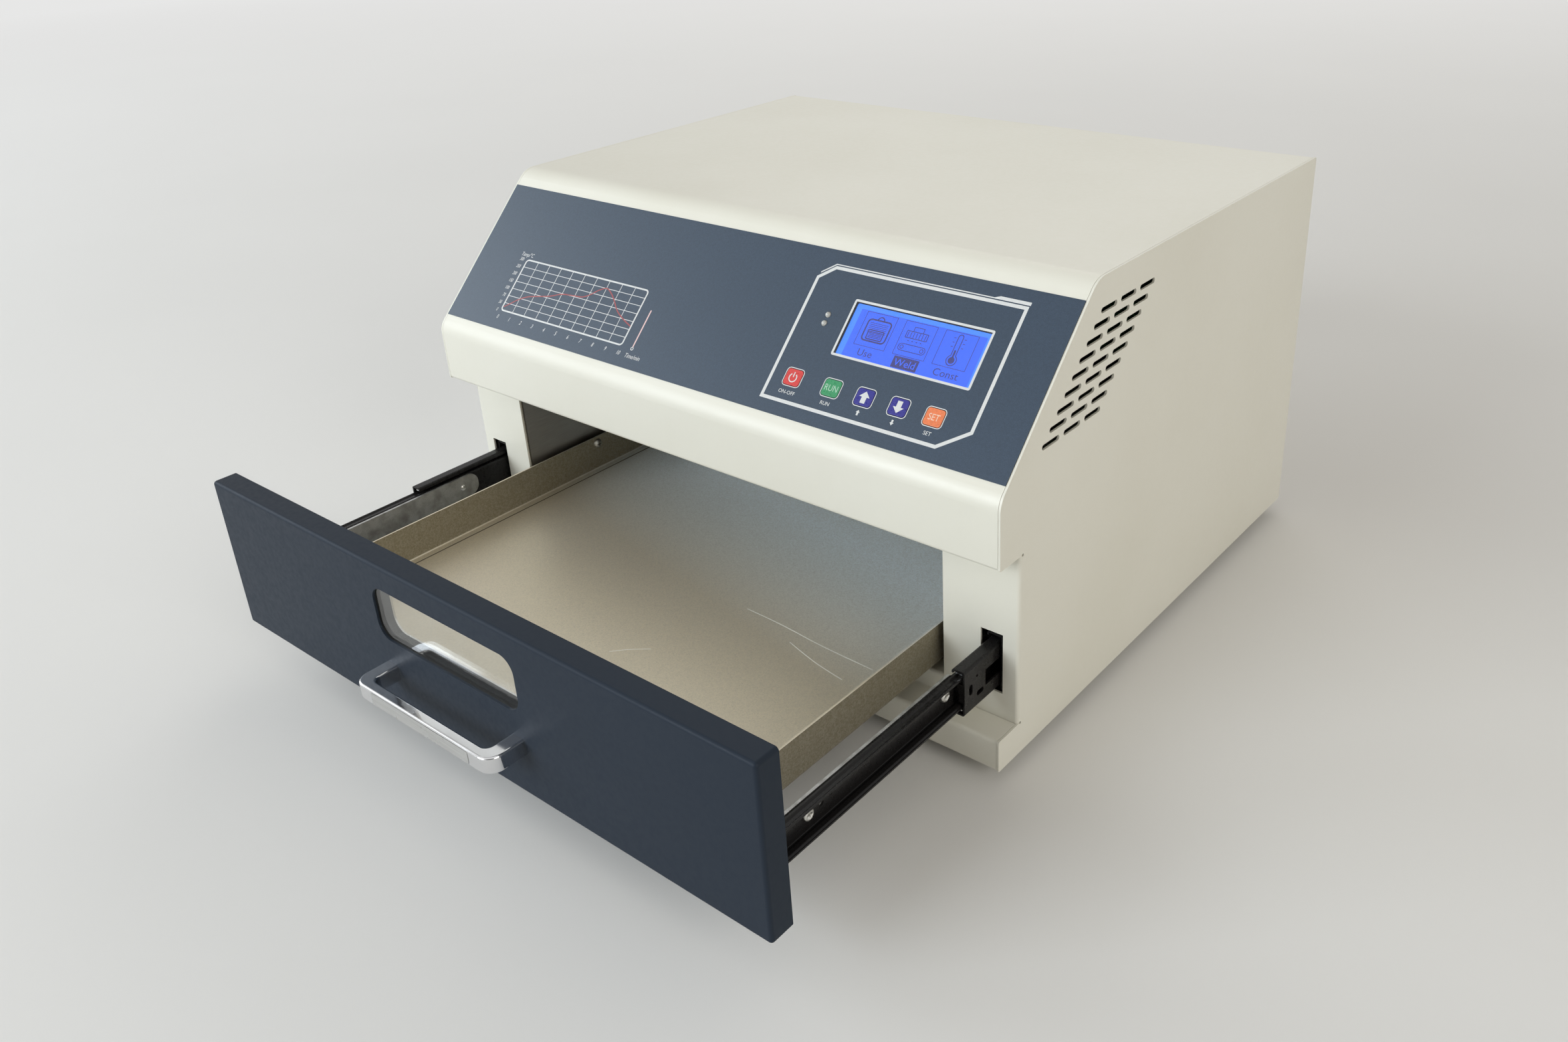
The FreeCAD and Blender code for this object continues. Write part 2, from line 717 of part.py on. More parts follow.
def lcd_panel():
    width = LCD_W - 2 * (LCD_RIM + HOLE_PLAY)
    height = LCD_H - 2 * (LCD_RIM + HOLE_PLAY)
    top = -SHEET - LCD_SINK
    pane = rounded_block(width, height, KEY_R / 2, top - LCD_GLASS_T, top)
    return on_slope(moved(pane, LCD_X, LCD_UP, 0))


def indicator_leds():
    leds = []
    for up in LED_UP:
        body = rod(LED_R, Vec(LED_X, up, -BOARD_DEPTH), Vec(0, 0, BOARD_DEPTH))
        dome = Part.makeSphere(LED_R, Vec(LED_X, up, 0))
        leds.append(on_slope(body.fuse(dome).removeSplitter()))
    return leds


def key(x):
    """Key cap with the flange that holds it under the cover, and the stem that works its switch."""
    under = -SHEET - KEY_PROUD
    cap = rounded_block(KEY_W, KEY_H, KEY_R, under, FILM + KEY_PROUD)
    edges = [e for e in cap.Edges if e.BoundBox.ZMin > FILM]
    cap = cap.makeFillet(KEY_PROUD * 0.8, edges)
    low = under - KEY_FLANGE_T
    flange = rounded_block(KEY_W + 2 * KEY_FLANGE, KEY_H + 2 * KEY_FLANGE, KEY_R, low, under)
    stem = rod(KEY_STEM_R, Vec(0, 0, low - KEY_STEM_L), Vec(0, 0, KEY_STEM_L))
    return on_slope(moved(fused([cap, flange, stem]), x, KEY_UP, 0))


def control_board():
    back = -BOARD_DEPTH - BOARD_T
    pieces = [block(BOARD_X, BOARD_UP, (back, -BOARD_DEPTH))]
    stem_end = -SHEET - KEY_PROUD - KEY_FLANGE_T - KEY_STEM_L
    tip = stem_end - KEY_TRAVEL - HOLE_PLAY
    half = SWITCH_W / 2
    top = -BOARD_DEPTH + SWITCH_H
    for name, x in key_places():
        pieces.append(block((x - half, x + half), (KEY_UP - half, KEY_UP + half), (-BOARD_DEPTH, top)))
        pieces.append(rod(SWITCH_TIP_R, Vec(x, KEY_UP, top), Vec(0, 0, tip - top)))
    chip_x = (BOARD_X[0] + CHIP, BOARD_X[0] + 2 * CHIP)
    chip_up = (BOARD_UP[1] - 2 * CHIP, BOARD_UP[1] - CHIP)
    pieces.append(block(chip_x, chip_up, (back - BOARD_T, back)))
    plug_up = (LOOM_UP - CONNECTOR_D / 2, LOOM_UP + CONNECTOR_D / 2)
    pieces.append(block(loom_span(), plug_up, (back - PLUG_H, back)))
    holes = []
    for x, v in standoff_places():
        holes.append(rod(HOLE_R, Vec(x, v, back - BOARD_T), Vec(0, 0, 3 * BOARD_T)))
    return on_slope(fused(pieces).cut(holes))


def standoff_places():
    across = (BOARD_X[0] + STANDOFF_INSET, BOARD_X[1] - STANDOFF_INSET)
    upward = (BOARD_UP[0] + STANDOFF_INSET, BOARD_UP[1] - STANDOFF_INSET)
    return [(x, v) for x in across for v in upward]


def board_standoffs():
    posts = []
    for x, v in standoff_places():
        post = rod(STANDOFF_R, Vec(x, v, -BOARD_DEPTH), Vec(0, 0, BOARD_DEPTH - SHEET))
        stud = rod(SCREW_R, Vec(x, v, -BOARD_DEPTH - BOARD_T), Vec(0, 0, BOARD_T))
        posts.append(on_slope(post.fuse(stud).removeSplitter()))
    return posts


# Heated chamber

def tube_rods(radius, x0, x1):
    return [rod(radius, Vec(x0, y, TUBE_Z), Vec(x1 - x0, 0, 0)) for y in TUBE_Y]


def probe_rod(radius, y0, y1):
    return rod(radius, Vec(PROBE_X, y0, PROBE_Z), Vec(0, y1 - y0, 0))


def chamber_liner():
    shell = block((-LINER_HALF, LINER_HALF), (LINER_FRONT_Y, LINER_REAR_Y + LINER_T),
                  (LINER_UNDER_Z, LINER_OVER_Z))
    inside = block((-HALF_MOUTH, HALF_MOUTH), (LINER_FRONT_Y - SHEET, LINER_REAR_Y),
                   (LINER_FLOOR_Z, LINER_TOP_Z))
    holes = tube_rods(TUBE_R + TUBE_PLAY, -LINER_HALF - SHEET, LINER_HALF + SHEET)
    holes.append(probe_rod(PROBE_R + TUBE_PLAY, LINER_REAR_Y - SHEET, LINER_REAR_Y + 2 * SHEET))
    return shell.cut([inside] + holes)


def insulation():
    wool = block((-WOOL_HALF, WOOL_HALF), (LINER_FRONT_Y, LINER_REAR_Y + LINER_T + WOOL_REAR),
                 (SHEET, LINER_OVER_Z + WOOL_TOP))
    core = block((-LINER_HALF, LINER_HALF), (LINER_FRONT_Y - SHEET, LINER_REAR_Y + LINER_T),
                 (LINER_UNDER_Z, LINER_OVER_Z))
    holes = tube_rods(TUBE_R + TUBE_PLAY, -WOOL_HALF - SHEET, WOOL_HALF + SHEET)
    rear = LINER_REAR_Y + LINER_T + WOOL_REAR
    holes.append(probe_rod(PROBE_R + TUBE_PLAY, LINER_REAR_Y, rear + SHEET))
    return wool.cut([core] + holes)


def reflector():
    half = HALF_MOUTH - REFLECTOR_INSET
    low = TUBE_Z + TUBE_R + REFLECTOR_GAP
    line = [(half, LINER_TOP_Z), (half, low), (-half, low), (-half, LINER_TOP_Z)]
    front = LINER_FRONT_Y + REFLECTOR_INSET
    length = LINER_REAR_Y - REFLECTOR_INSET - front
    return bent_sheet(line, [BEND_IN] * 2, -REFLECTOR_T, front_view(front), Vec(0, length, 0))


def heater_tubes():
    end = CAP_X + CAP_SOCKET - TUBE_PLAY
    return tube_rods(TUBE_R, -end, end)


def heater_end_caps():
    caps = []
    for solid, socket in zip(tube_rods(CAP_R, CAP_X, CAP_X + CAP_L),
                             tube_rods(TUBE_R + TUBE_PLAY, CAP_X - SHEET, CAP_X + CAP_SOCKET)):
        cap = solid.cut(socket)
        caps += [cap, mirrored(cap)]
    return caps


def heater_brackets():
    edge = 2 * CAP_R
    plate = block((BRACKET_X, BRACKET_X + SHEET), (TUBE_Y[0] - edge, TUBE_Y[-1] + edge),
                  (TUBE_Z - 1.4 * CAP_R, SHIELD_Z))
    plate = plate.cut(tube_rods(CAP_R + TUBE_PLAY, BRACKET_X - SHEET, BRACKET_X + 2 * SHEET))
    return [plate, mirrored(plate)]


def thermocouple():
    gland = probe_rod(GLAND_R, LINER_REAR_Y - GLAND_T, LINER_REAR_Y)
    stem = probe_rod(PROBE_R, LINER_REAR_Y - PROBE_REACH, LINER_REAR_Y + LINER_T + WOOL_REAR)
    tip = Part.makeSphere(PROBE_R, Vec(PROBE_X, LINER_REAR_Y - PROBE_REACH, PROBE_Z))
    return fused([gland, stem, tip])


# Electrical bay

def heat_shield():
    lip = SHIELD_Z + SHEET + SHIELD_LIP
    line = [(-COVER_HALF, lip), (-COVER_HALF, SHIELD_Z), (COVER_HALF, SHIELD_Z), (COVER_HALF, lip)]
    length = REAR_IN - FLANGE - SHIELD_FRONT_Y
    return bent_sheet(line, [BEND_IN] * 2, SHEET, front_view(SHIELD_FRONT_Y), Vec(0, length, 0))


def loom_x(i):
    return LOOM_X + LOOM_PITCH * i


def loom_span():
    """Width of the connectors at the ends of the wires."""
    return (loom_x(0) - LOOM_PITCH / 2, loom_x(LOOM_WIRES - 1) + LOOM_PITCH / 2)


def power_board():
    """Circuit board on four posts, with its relays, capacitors, sink and wire connector."""
    low = SHIELD_Z + SHEET + POWER_BOARD_LIFT
    top = low + BOARD_T
    x0, x1 = POWER_BOARD_X
    y0, y1 = POWER_BOARD_Y
    pieces = [block(POWER_BOARD_X, POWER_BOARD_Y, (low, top))]
    for x in (x0 + STANDOFF_INSET, x1 - STANDOFF_INSET):
        for y in (y0 + STANDOFF_INSET, y1 - STANDOFF_INSET):
            pieces.append(rod(STANDOFF_R, Vec(x, y, low - POWER_BOARD_LIFT), Vec(0, 0, POWER_BOARD_LIFT)))
    relay_y = (y1 - 3 * POWER_RELAY, y1 - 2 * POWER_RELAY)
    for i in range(POWER_RELAYS):
        x = x0 + 2 * STANDOFF_INSET + i * POWER_RELAY_PITCH
        pieces.append(block((x, x + POWER_RELAY), relay_y, (top, top + POWER_RELAY)))
        foot = Vec(x + POWER_RELAY / 2, y1 - POWER_RELAY, top)
        pieces.append(rod(CAPACITOR_R, foot, Vec(0, 0, CAPACITOR_H)))
    fin_end = x1 - STANDOFF_INSET
    for i in range(FIN_COUNT):
        y = y0 + 4 * STANDOFF_INSET + i * FIN_PITCH
        pieces.append(block((fin_end - FIN_L, fin_end), (y, y + FIN_T), (top, top + FIN_H)))
    pieces.append(block(loom_span(), (y0, y0 + CONNECTOR_D), (top, top + CONNECTOR_H)))
    return fused(pieces)


def transformer():
    """Laminated core with a wound bobbin, standing on its two mounting ears."""
    width, depth, height = TRANSFORMER_SIZE
    low = SHIELD_Z + SHEET
    half = width / 2
    core = block((-half, half), (-depth / 2, depth / 2), (low, low + height))
    bobbin = rounded_block(BOBBIN_W, BOBBIN_D, BOBBIN_R, low + BOBBIN_MARGIN, low + height - BOBBIN_MARGIN)
    reach = half + TRANSFORMER_EAR
    ears = block((-reach, reach), (-depth / 2, depth / 2), (low, low + BRACKET_T))
    return moved(fused([core, bobbin, ears]), TRANSFORMER_INSET - HALF_W, CASE_D - TRANSFORMER_REAR, 0)


def solid_state_relay():
    """Relay block with a sunk terminal at each of its four corners."""
    width, depth, height = RELAY_SIZE
    low = SHIELD_Z + SHEET
    body = rounded_block(width, depth, RELAY_EDGE_R, low, low + height)
    x = width / 2 - TERMINAL_INSET
    y = depth / 2 - TERMINAL_INSET
    floor = low + height - TERMINAL_DEPTH
    wells = []
    for sx in (-1, 1):
        for sy in (-1, 1):
            wells.append(rod(TERMINAL_R, Vec(sx * x, sy * y, floor), Vec(0, 0, 2 * TERMINAL_DEPTH)))
    return moved(body.cut(wells), RELAY_INSET - HALF_W, CASE_D - RELAY_REAR, 0)


def wiring_loom():
    """Wires from the control board's rear to the power board's terminal."""
    sink = BOARD_DEPTH + BOARD_T + PLUG_H
    along = (math.cos(SLOPE), math.sin(SLOPE))
    start = SLOPE_FRAME.multVec(Vec(0, LOOM_UP, -sink))
    end_z = SHIELD_Z + SHEET + POWER_BOARD_LIFT + BOARD_T + CONNECTOR_H / 2
    drop = (start.z - end_z) / along[0]
    knee = (start.y + drop * along[1], end_z)
    line = [(start.y, start.z), knee, (POWER_BOARD_Y[0], end_z)]
    wires = []
    for i in range(LOOM_WIRES):
        path = Part.Wire(path_edges(line, [drop / 2], side_view(loom_x(i))))
        ring = Part.makeCircle(LOOM_R, Vec(loom_x(i), start.y, start.z), Vec(0, along[1], -along[0]))
        wires.append(path.makePipeShell([Part.Wire([ring])], True, False))
    return wires


# Fan and mains inlet

def fan_corners():
    half = FAN_HOLE_PITCH / 2
    return [(FAN_X + sx * half, FAN_Z + sz * half) for sx in (-1, 1) for sz in (-1, 1)]


def fan_frame():
    front = REAR_IN - FAN_T
    half = FAN_SIZE / 2
    frame = block((FAN_X - half, FAN_X + half), (front, REAR_IN), (FAN_Z - half, FAN_Z + half))
    frame = frame.makeFillet(FAN_SIZE / 16, [e for e in frame.Edges if e.BoundBox.YLength > FAN_T / 2])
    centre = Vec(FAN_X, front, FAN_Z)
    frame = frame.cut(rod(FAN_BORE_R, centre, Vec(0, FAN_T, 0)))
    pieces = [frame, rod(FAN_HUB_R, centre, Vec(0, FAN_PLATE_T, 0)),
              rod(FAN_SHAFT_R, centre, Vec(0, FAN_SHAFT_END_Y - front, 0))]
    strut = block((0, FAN_BORE_R + SHEET), (0, FAN_PLATE_T), (-FAN_PLATE_T, FAN_PLATE_T))
    for i in range(FAN_STRUTS):
        arm = strut.copy()
        arm.rotate(Vec(0, 0, 0), Vec(0, 1, 0), 360.0 * i / FAN_STRUTS)
        pieces.append(moved(arm, centre.x, centre.y, centre.z))
    holes = [rod(HOLE_R, Vec(x, front, z), Vec(0, FAN_T, 0)) for x, z in fan_corners()]
    return fused(pieces).cut(holes)


def fan_blade(front, rear):
    """Twisted blade from the hub outwards along Z, between two depths, trimmed to the tip gap."""
    wires = []
    for radius, lean in zip((FAN_HUB_R - FAN_BLADE_T, FAN_BORE_R), FAN_BLADE_LEAN):
        corners = [(-lean, front), (FAN_BLADE_T - lean, front), (lean + FAN_BLADE_T, rear), (lean, rear)]
        wires.append(Part.makePolygon([Vec(x, y, radius) for x, y in corners + corners[:1]]))
    sweep = rod(FAN_BORE_R - FAN_TIP_GAP, Vec(0, front, 0), Vec(0, rear - front, 0))
    return Part.makeLoft(wires, True, True).common(sweep)


def fan_rotor():
    front = REAR_IN - FAN_T + FAN_PLATE_T + SHEET
    rear = REAR_IN - SHEET
    hub = rod(FAN_HUB_R, Vec(0, front, 0), Vec(0, rear - front, 0))
    hub = hub.makeFillet(SHEET, [e for e in hub.Edges if e.BoundBox.YMin > rear - SHEET])
    pieces = [hub]
    for i in range(FAN_BLADES):
        blade = fan_blade(front + SHEET, rear - SHEET)
        blade.rotate(Vec(0, 0, 0), Vec(0, 1, 0), 360.0 * i / FAN_BLADES)
        pieces.append(blade)
    start = front - SHEET
    bore = rod(FAN_SHAFT_R + FAN_SHAFT_PLAY, Vec(0, start, 0), Vec(0, FAN_SHAFT_END_Y + SEAM - start, 0))
    return moved(fused(pieces).cut(bore), FAN_X, 0, FAN_Z)


def fan_guard():
    """Wire finger guard: rings on two crossed wires whose eyes take the fan's screws."""
    corner = FAN_HOLE_PITCH / math.sqrt(2)
    along = Vec(0, 1, 0)
    cross_y = GUARD_Y - 1.2 * GUARD_WIRE_R
    pieces = []
    for i in range(GUARD_RINGS):
        radius = FAN_BORE_R * (i + 1) / GUARD_RINGS
        pieces.append(Part.makeTorus(radius, GUARD_WIRE_R, Vec(FAN_X, GUARD_Y, FAN_Z), along))
    for sx in (-1, 1):
        reach = Vec(sx * corner, 0, corner) / math.sqrt(2)
        pieces.append(rod(GUARD_WIRE_R, Vec(FAN_X, cross_y, FAN_Z) - reach, reach * 2))
    for x, z in fan_corners():
        pieces.append(rod(EYE_R, Vec(x, REAR_FACE, z), Vec(0, GUARD_LIFT + GUARD_WIRE_R, 0)))
    holes = [rod(HOLE_R, Vec(x, REAR_FACE, z), Vec(0, 2 * GUARD_LIFT, 0)) for x, z in fan_corners()]
    return fused(pieces).cut(holes)


def fan_screws():
    seat = REAR_FACE + GUARD_LIFT + GUARD_WIRE_R
    grip = seat - REAR_IN + 3 * SCREW_END
    return [screw(Vec(x, seat, z), Vec(0, 1, 0), grip) for x, z in fan_corners()]


def inlet_block(width, height, y0, y1, lift=0.0):
    """Block about the inlet's axis, between two depths."""
    x = (INLET_X - width / 2, INLET_X + width / 2)
    z = (INLET_Z + lift - height / 2, INLET_Z + lift + height / 2)
    return block(x, (y0, y1), z)


def power_inlet():
    """Three-pin mains socket with a lip outside the rear panel and a fuse drawer's slot."""
    front = REAR_FACE - INLET_DEPTH
    outside = REAR_FACE + INLET_LIP_T
    body = inlet_block(INLET_W, INLET_H, front, REAR_FACE)
    lip_h = INLET_H + FUSE_H + 2 * INLET_LIP
    lip = inlet_block(INLET_W + 2 * INLET_LIP, lip_h, REAR_FACE, outside, -FUSE_H / 2)
    cavity = inlet_block(INLET_W - 2 * INLET_WALL, INLET_H - 2 * INLET_WALL, front + INLET_DEPTH / 3,
                         outside + INLET_LIP_T)
    upper = [e for e in cavity.Edges if e.BoundBox.YLength > INLET_WALL and e.BoundBox.ZMin > INLET_Z]
    cavity = cavity.makeChamfer(INLET_CHAMFER, upper)
    slot = inlet_block(INLET_W - 2 * INLET_WALL, FUSE_H - 2 * INLET_WALL, REAR_FACE + INLET_LIP_T / 2,
                       outside + INLET_LIP_T, -(INLET_H + FUSE_H) / 2)
    pieces = [body.fuse(lip).cut([cavity, slot])]
    for i, rise in ((-1, -1), (0, 1), (1, -1)):
        x = INLET_X + i * PIN_PITCH
        z = INLET_Z + rise * PIN_H / 2
        start = front + INLET_DEPTH / 3 - INLET_WALL
        pieces.append(block((x - PIN_W / 2, x + PIN_W / 2), (start, start + PIN_L + INLET_WALL),
                            (z - PIN_H / 2, z + PIN_H / 2)))
    return fused(pieces)


def fuse_drawer():
    """Cover of the fuse drawer, seated in its slot below the socket."""
    y0 = REAR_FACE + INLET_LIP_T / 2
    y1 = REAR_FACE + INLET_LIP_T + SHEET
    width = INLET_W - 2 * (INLET_WALL + HOLE_PLAY)
    height = FUSE_H - 2 * (INLET_WALL + HOLE_PLAY)
    face = inlet_block(width, height, y0, y1, -(INLET_H + FUSE_H) / 2)
    notch = inlet_block(width / 3, height / 3, y1 - SHEET / 2, y1 + SHEET, -(INLET_H + FUSE_H) / 2)
    return face.cut(notch)


# Telescopic slides, right side

def channel(web_x, tip_x, half, y0, length):
    """Slide section open towards the drawer, with a lip on each flange."""
    top = SLIDE_Z + half
    low = SLIDE_Z - half
    line = [(tip_x, top - RAIL_LIP), (tip_x, top), (web_x, top), (web_x, low), (tip_x, low),
            (tip_x, low + RAIL_LIP)]
    return bent_sheet(line, [RAIL_BEND_IN] * 4, -RAIL_SHEET, front_view(y0), Vec(0, length, 0))


def web_slot(x, y, z, length, height):
    """Cutter for a rounded hole through a web that stands across X."""
    slot = rounded_block(length, height, min(length, height) * 0.49, -2 * RAIL_SHEET, 2 * RAIL_SHEET)
    slot.Placement = FreeCAD.Placement(Vec(x, y, z), FreeCAD.Rotation(Vec(1, 1, 1), 120))
    return slot


def bracket_screw_points():
    ends = (BRACKET_FRONT + 2 * FLANGE, BRACKET_FRONT + BRACKET_L - 2 * FLANGE)
    return [Vec(OUTER_WEB_X - RAIL_SHEET, y, SLIDE_Z) for y in ends]


def bracket_holes():
    along = Vec(RAIL_SHEET + 2 * BRACKET_T, 0, 0)
    return [rod(HOLE_R, p - Vec(RAIL_SHEET / 2, 0, 0), along) for p in bracket_screw_points()]


def outer_rail():
    rail = channel(OUTER_WEB_X, OUTER_TIP_X, OUTER_H / 2, RAIL_FRONT_Y, SLIDE_L)
    return rail.cut(bracket_holes())


def outer_rail_screws():
    """Low rivets that hold the outer rails to their brackets, flush inside the rail."""
    studs = []
    for p in bracket_screw_points():
        shank = rod(SCREW_R, p, Vec(RAIL_SHEET + BRACKET_T, 0, 0))
        head = Part.makeCone(SCREW_HEAD_R, SCREW_R, SCREW_HEAD_H,
                             p + Vec(RAIL_SHEET + BRACKET_T, 0, 0), Vec(1, 0, 0))
        stud = shank.fuse(head).removeSplitter()
        studs += [stud, mirrored(stud)]
    return studs


def rail_bracket():
    """Angle that stands on the base and carries the outer rail."""
    x = OUTER_WEB_X + BRACKET_T
    line = [(x - BRACKET_FOOT, SHEET), (x, SHEET), (x, SLIDE_Z + OUTER_H / 2)]
    angle = bent_sheet(line, [BEND_IN], BRACKET_T, front_view(BRACKET_FRONT), Vec(0, BRACKET_L, 0))
    return angle.cut(bracket_holes())


def mid_rail(opening):
    """Middle section drawn out by an opening, with a stop on the front of its pierced web."""
    front = RAIL_FRONT_Y - opening
    rail = channel(MID_WEB_X, MID_TIP_X, MID_HALF, front, SLIDE_L)
    step = RAIL_HOLE_STEP
    window_y = front + MID_WINDOW_START
    half = MID_WINDOW_H / 2
    holes = [
        web_slot(MID_WEB_X, front + step, SLIDE_Z, RAIL_HOLE, 2 * RAIL_HOLE),
        web_slot(MID_WEB_X, front + 2 * step, SLIDE_Z + step, RAIL_HOLE / 2, RAIL_HOLE / 2),
        web_slot(MID_WEB_X, front + 2.5 * step, SLIDE_Z - step, 2 * RAIL_HOLE, RAIL_HOLE),
        web_slot(MID_WEB_X, front + SLIDE_L - 2 * step, SLIDE_Z, 2 * RAIL_HOLE, 2 * RAIL_HOLE),
        block((MID_WEB_X - 2 * RAIL_SHEET, MID_WEB_X + RAIL_SHEET), (window_y, window_y + MID_WINDOW_L),
              (SLIDE_Z - half, SLIDE_Z + half)),
    ]
    stop_x = (MID_WEB_X - RAIL_SHEET - MID_STOP, MID_WEB_X - RAIL_SHEET / 2)
    stop = block(stop_x, (front, front + RAIL_SHEET), (SLIDE_Z - step, SLIDE_Z + step))
    return rail.cut(holes).fuse(stop).removeSplitter()


def cage_strip(x0, x1, offset, y0, side):
    """Strip of a ball cage above or below the slide's middle, with its balls."""
    z = SLIDE_Z + side * offset
    pieces = [block((x0, x1), (y0, y0 + CAGE_L), (z - CAGE_T / 2, z + CAGE_T / 2))]
    pitch = CAGE_L / CAGE_BALLS
    for i in range(CAGE_BALLS):
        pieces.append(Part.makeSphere(BALL_R, Vec((x0 + x1) / 2, y0 + pitch * (i + 0.5), z)))
    return fused(pieces)


def ball_cages(opening):
    """Cages between the inner and middle rails, and between the middle and outer rails."""
    front = RAIL_FRONT_Y - opening
    gap = BALL_R + BALL_PLAY
    inner_x = (MID_TIP_X + RAIL_SHEET + WEB_GAP, INNER_TIP_X - WEB_GAP)
    outer_x = (OUTER_TIP_X + RAIL_SHEET + WEB_GAP, MID_WEB_X - WEB_GAP)
    inner_y = front + RAIL_SHEET
    outer_y = front + SLIDE_L - 1.5 * CAGE_L
    strips = []
    for side in (-1, 1):
        strips.append(cage_strip(*inner_x, INNER_HALF + gap, inner_y, side))
        strips.append(cage_strip(*outer_x, MID_HALF + gap, outer_y, side))
    return strips


def inner_rail():
    """Channel open to the case, with a ball track along each flange."""
    track = RAIL_SHEET * 0.7
    steps = (INNER_TIP_X - SLIDE_X) / 8
    upper = [(INNER_TIP_X, INNER_HALF), (INNER_TIP_X - steps, INNER_HALF),
             (INNER_TIP_X - 2 * steps, INNER_HALF - track), (INNER_TIP_X - 4 * steps, INNER_HALF - track),
             (INNER_TIP_X - 5 * steps, INNER_HALF), (SLIDE_X, INNER_HALF)]
    half_line = [(x, SLIDE_Z + z) for x, z in upper]
    line = half_line + [(x, SLIDE_Z - z) for x, z in upper[::-1]]
    radii = [RAIL_BEND_IN] * (len(line) - 2)
    for i in (0, 1, 2, 3):
        radii[i] = RAIL_BEND_IN / 6
        radii[-1 - i] = RAIL_BEND_IN / 6
    rail = bent_sheet(line, radii, RAIL_SHEET, front_view(DRAWER_Y), Vec(0, SLIDE_L, 0))
    through = Vec(3 * RAIL_SHEET, 0, 0)
    holes = [rod(HOLE_R, Vec(SLIDE_X - RAIL_SHEET, y, ARM_Z), through) for y in RAIL_SCREWS]
    beside = RAIL_SCREWS[0] + 3 * RAIL_SCREW_HEAD_R
    holes.append(web_slot(SLIDE_X, beside, ARM_Z, RAIL_HOLE, 2 * RAIL_HOLE))
    holes.append(web_slot(SLIDE_X, beside + 2 * RAIL_SCREW_HEAD_R, ARM_Z, RAIL_HOLE, RAIL_HOLE))
    return rail.cut(holes)


def drawer_arm():
    """Strip on the inner rail's web, turned flat inside the drawer's front."""
    turn_y = DOOR_BACK_Y - ARM_T
    line = [(SLIDE_X, DRAWER_Y + ARM_L), (SLIDE_X, turn_y), (SLIDE_X - ARM_TURN, turn_y)]
    low = ARM_Z - ARM_H / 2
    strip = bent_sheet(line, [BEND_IN], -ARM_T, plan_view(low), Vec(0, 0, ARM_H))
    ends = [e for e in strip.Edges if e.BoundBox.YMin > DRAWER_Y + ARM_L - ARM_T / 2
            and e.BoundBox.XLength > ARM_T / 2]
    strip = strip.makeFillet(ARM_H * 0.45, ends)
    holes = [rod(HOLE_R, Vec(SLIDE_X - 2 * ARM_T, y, ARM_Z), Vec(3 * ARM_T, 0, 0)) for y in RAIL_SCREWS]
    p = arm_screw_point()
    holes.append(rod(HOLE_R, p - Vec(0, 3 * ARM_T, 0), Vec(0, 5 * ARM_T, 0)))
    return strip.cut(holes)


def rail_screws():
    """Screws through the inner rails into the arms, their heads inside the rails."""
    screws = []
    for y in RAIL_SCREWS:
        seat = Vec(SLIDE_X + RAIL_SHEET, y, ARM_Z)
        one = screw(seat, Vec(1, 0, 0), RAIL_SHEET + ARM_T, RAIL_SCREW_HEAD_R)
        screws += [one, mirrored(one)]
    return screws


# Drawer

def arm_screw_point():
    return Vec(SLIDE_X - ARM_TURN + ARM_H / 3, DRAWER_Y, ARM_Z)


def window_block(grow, y0, y1):
    """Rounded block about the window's middle, larger all round by a margin."""
    plate = rounded_block(WINDOW_W + 2 * grow, WINDOW_H + 2 * grow, WINDOW_R, 0, y1 - y0)
    return aimed_back(plate, Vec(0, y1, WINDOW_Z))


def aimed_back(shape, point):
    """A copy of a flat piece stood upright, its own Z axis towards the front."""
    copy = shape.copy()
    copy.Placement = FreeCAD.Placement(point, FreeCAD.Rotation(Vec(1, 0, 0), 90))
    return copy


def drawer_front():
    """Folded steel front: a face with turned edges all round and the window's hole."""
    half = DOOR_W / 2
    shell = block((-half, half), (DOOR_Y, DRAWER_Y), (DOOR_Z, DOOR_Z + DOOR_H))
    face_edges = [e for e in shell.Edges if e.BoundBox.YMax < DOOR_Y + SEAM]
    depth_edges = [e for e in shell.Edges if e.BoundBox.YLength > DOOR_T / 2]
    shell = shell.makeFillet(DOOR_R, face_edges + depth_edges)
    t = DOOR_SHEET
    inside = block((-half + t, half - t), (DOOR_Y + t, DRAWER_Y + t), (DOOR_Z + t, DOOR_Z + DOOR_H - t))
    cutters = [inside, window_block(0, DOOR_Y - t, DOOR_Y + 2 * t)]
    for p in handle_screw_points():
        cutters.append(rod(HOLE_R, p - Vec(0, 2 * t, 0), Vec(0, 4 * t, 0)))
    return shell.cut(cutters)


def drawer_back_plate():
    half = DOOR_W / 2 - DOOR_SHEET - SEAM
    low = DOOR_Z + DOOR_SHEET + SEAM
    plate = block((-half, half), (DOOR_BACK_Y, DRAWER_Y), (low, DOOR_Z + DOOR_H - DOOR_SHEET - SEAM))
    cutters = [window_block(WINDOW_FLARE, DOOR_BACK_Y - BACK_T, DRAWER_Y + BACK_T)]
    slot_z = (ARM_Z - ARM_H / 2 - SEAM, ARM_Z + ARM_H / 2 + SEAM)
    slot_y = (DOOR_BACK_Y - BACK_T, DRAWER_Y + BACK_T)
    slot = block((SLIDE_X - ARM_T - BEND_IN - SEAM, SLIDE_X + SEAM), slot_y, slot_z)
    cutters += [slot, mirrored(slot)]
    for p in drawer_screw_points():
        cutters.append(rod(HOLE_R, p - Vec(0, 2 * BACK_T, 0), Vec(0, 4 * BACK_T, 0)))
    return plate.cut(cutters)


def window_glass():
    y0 = DOOR_Y + DOOR_SHEET
    return window_block(GLASS_LAP, y0, y0 + GLASS_T)


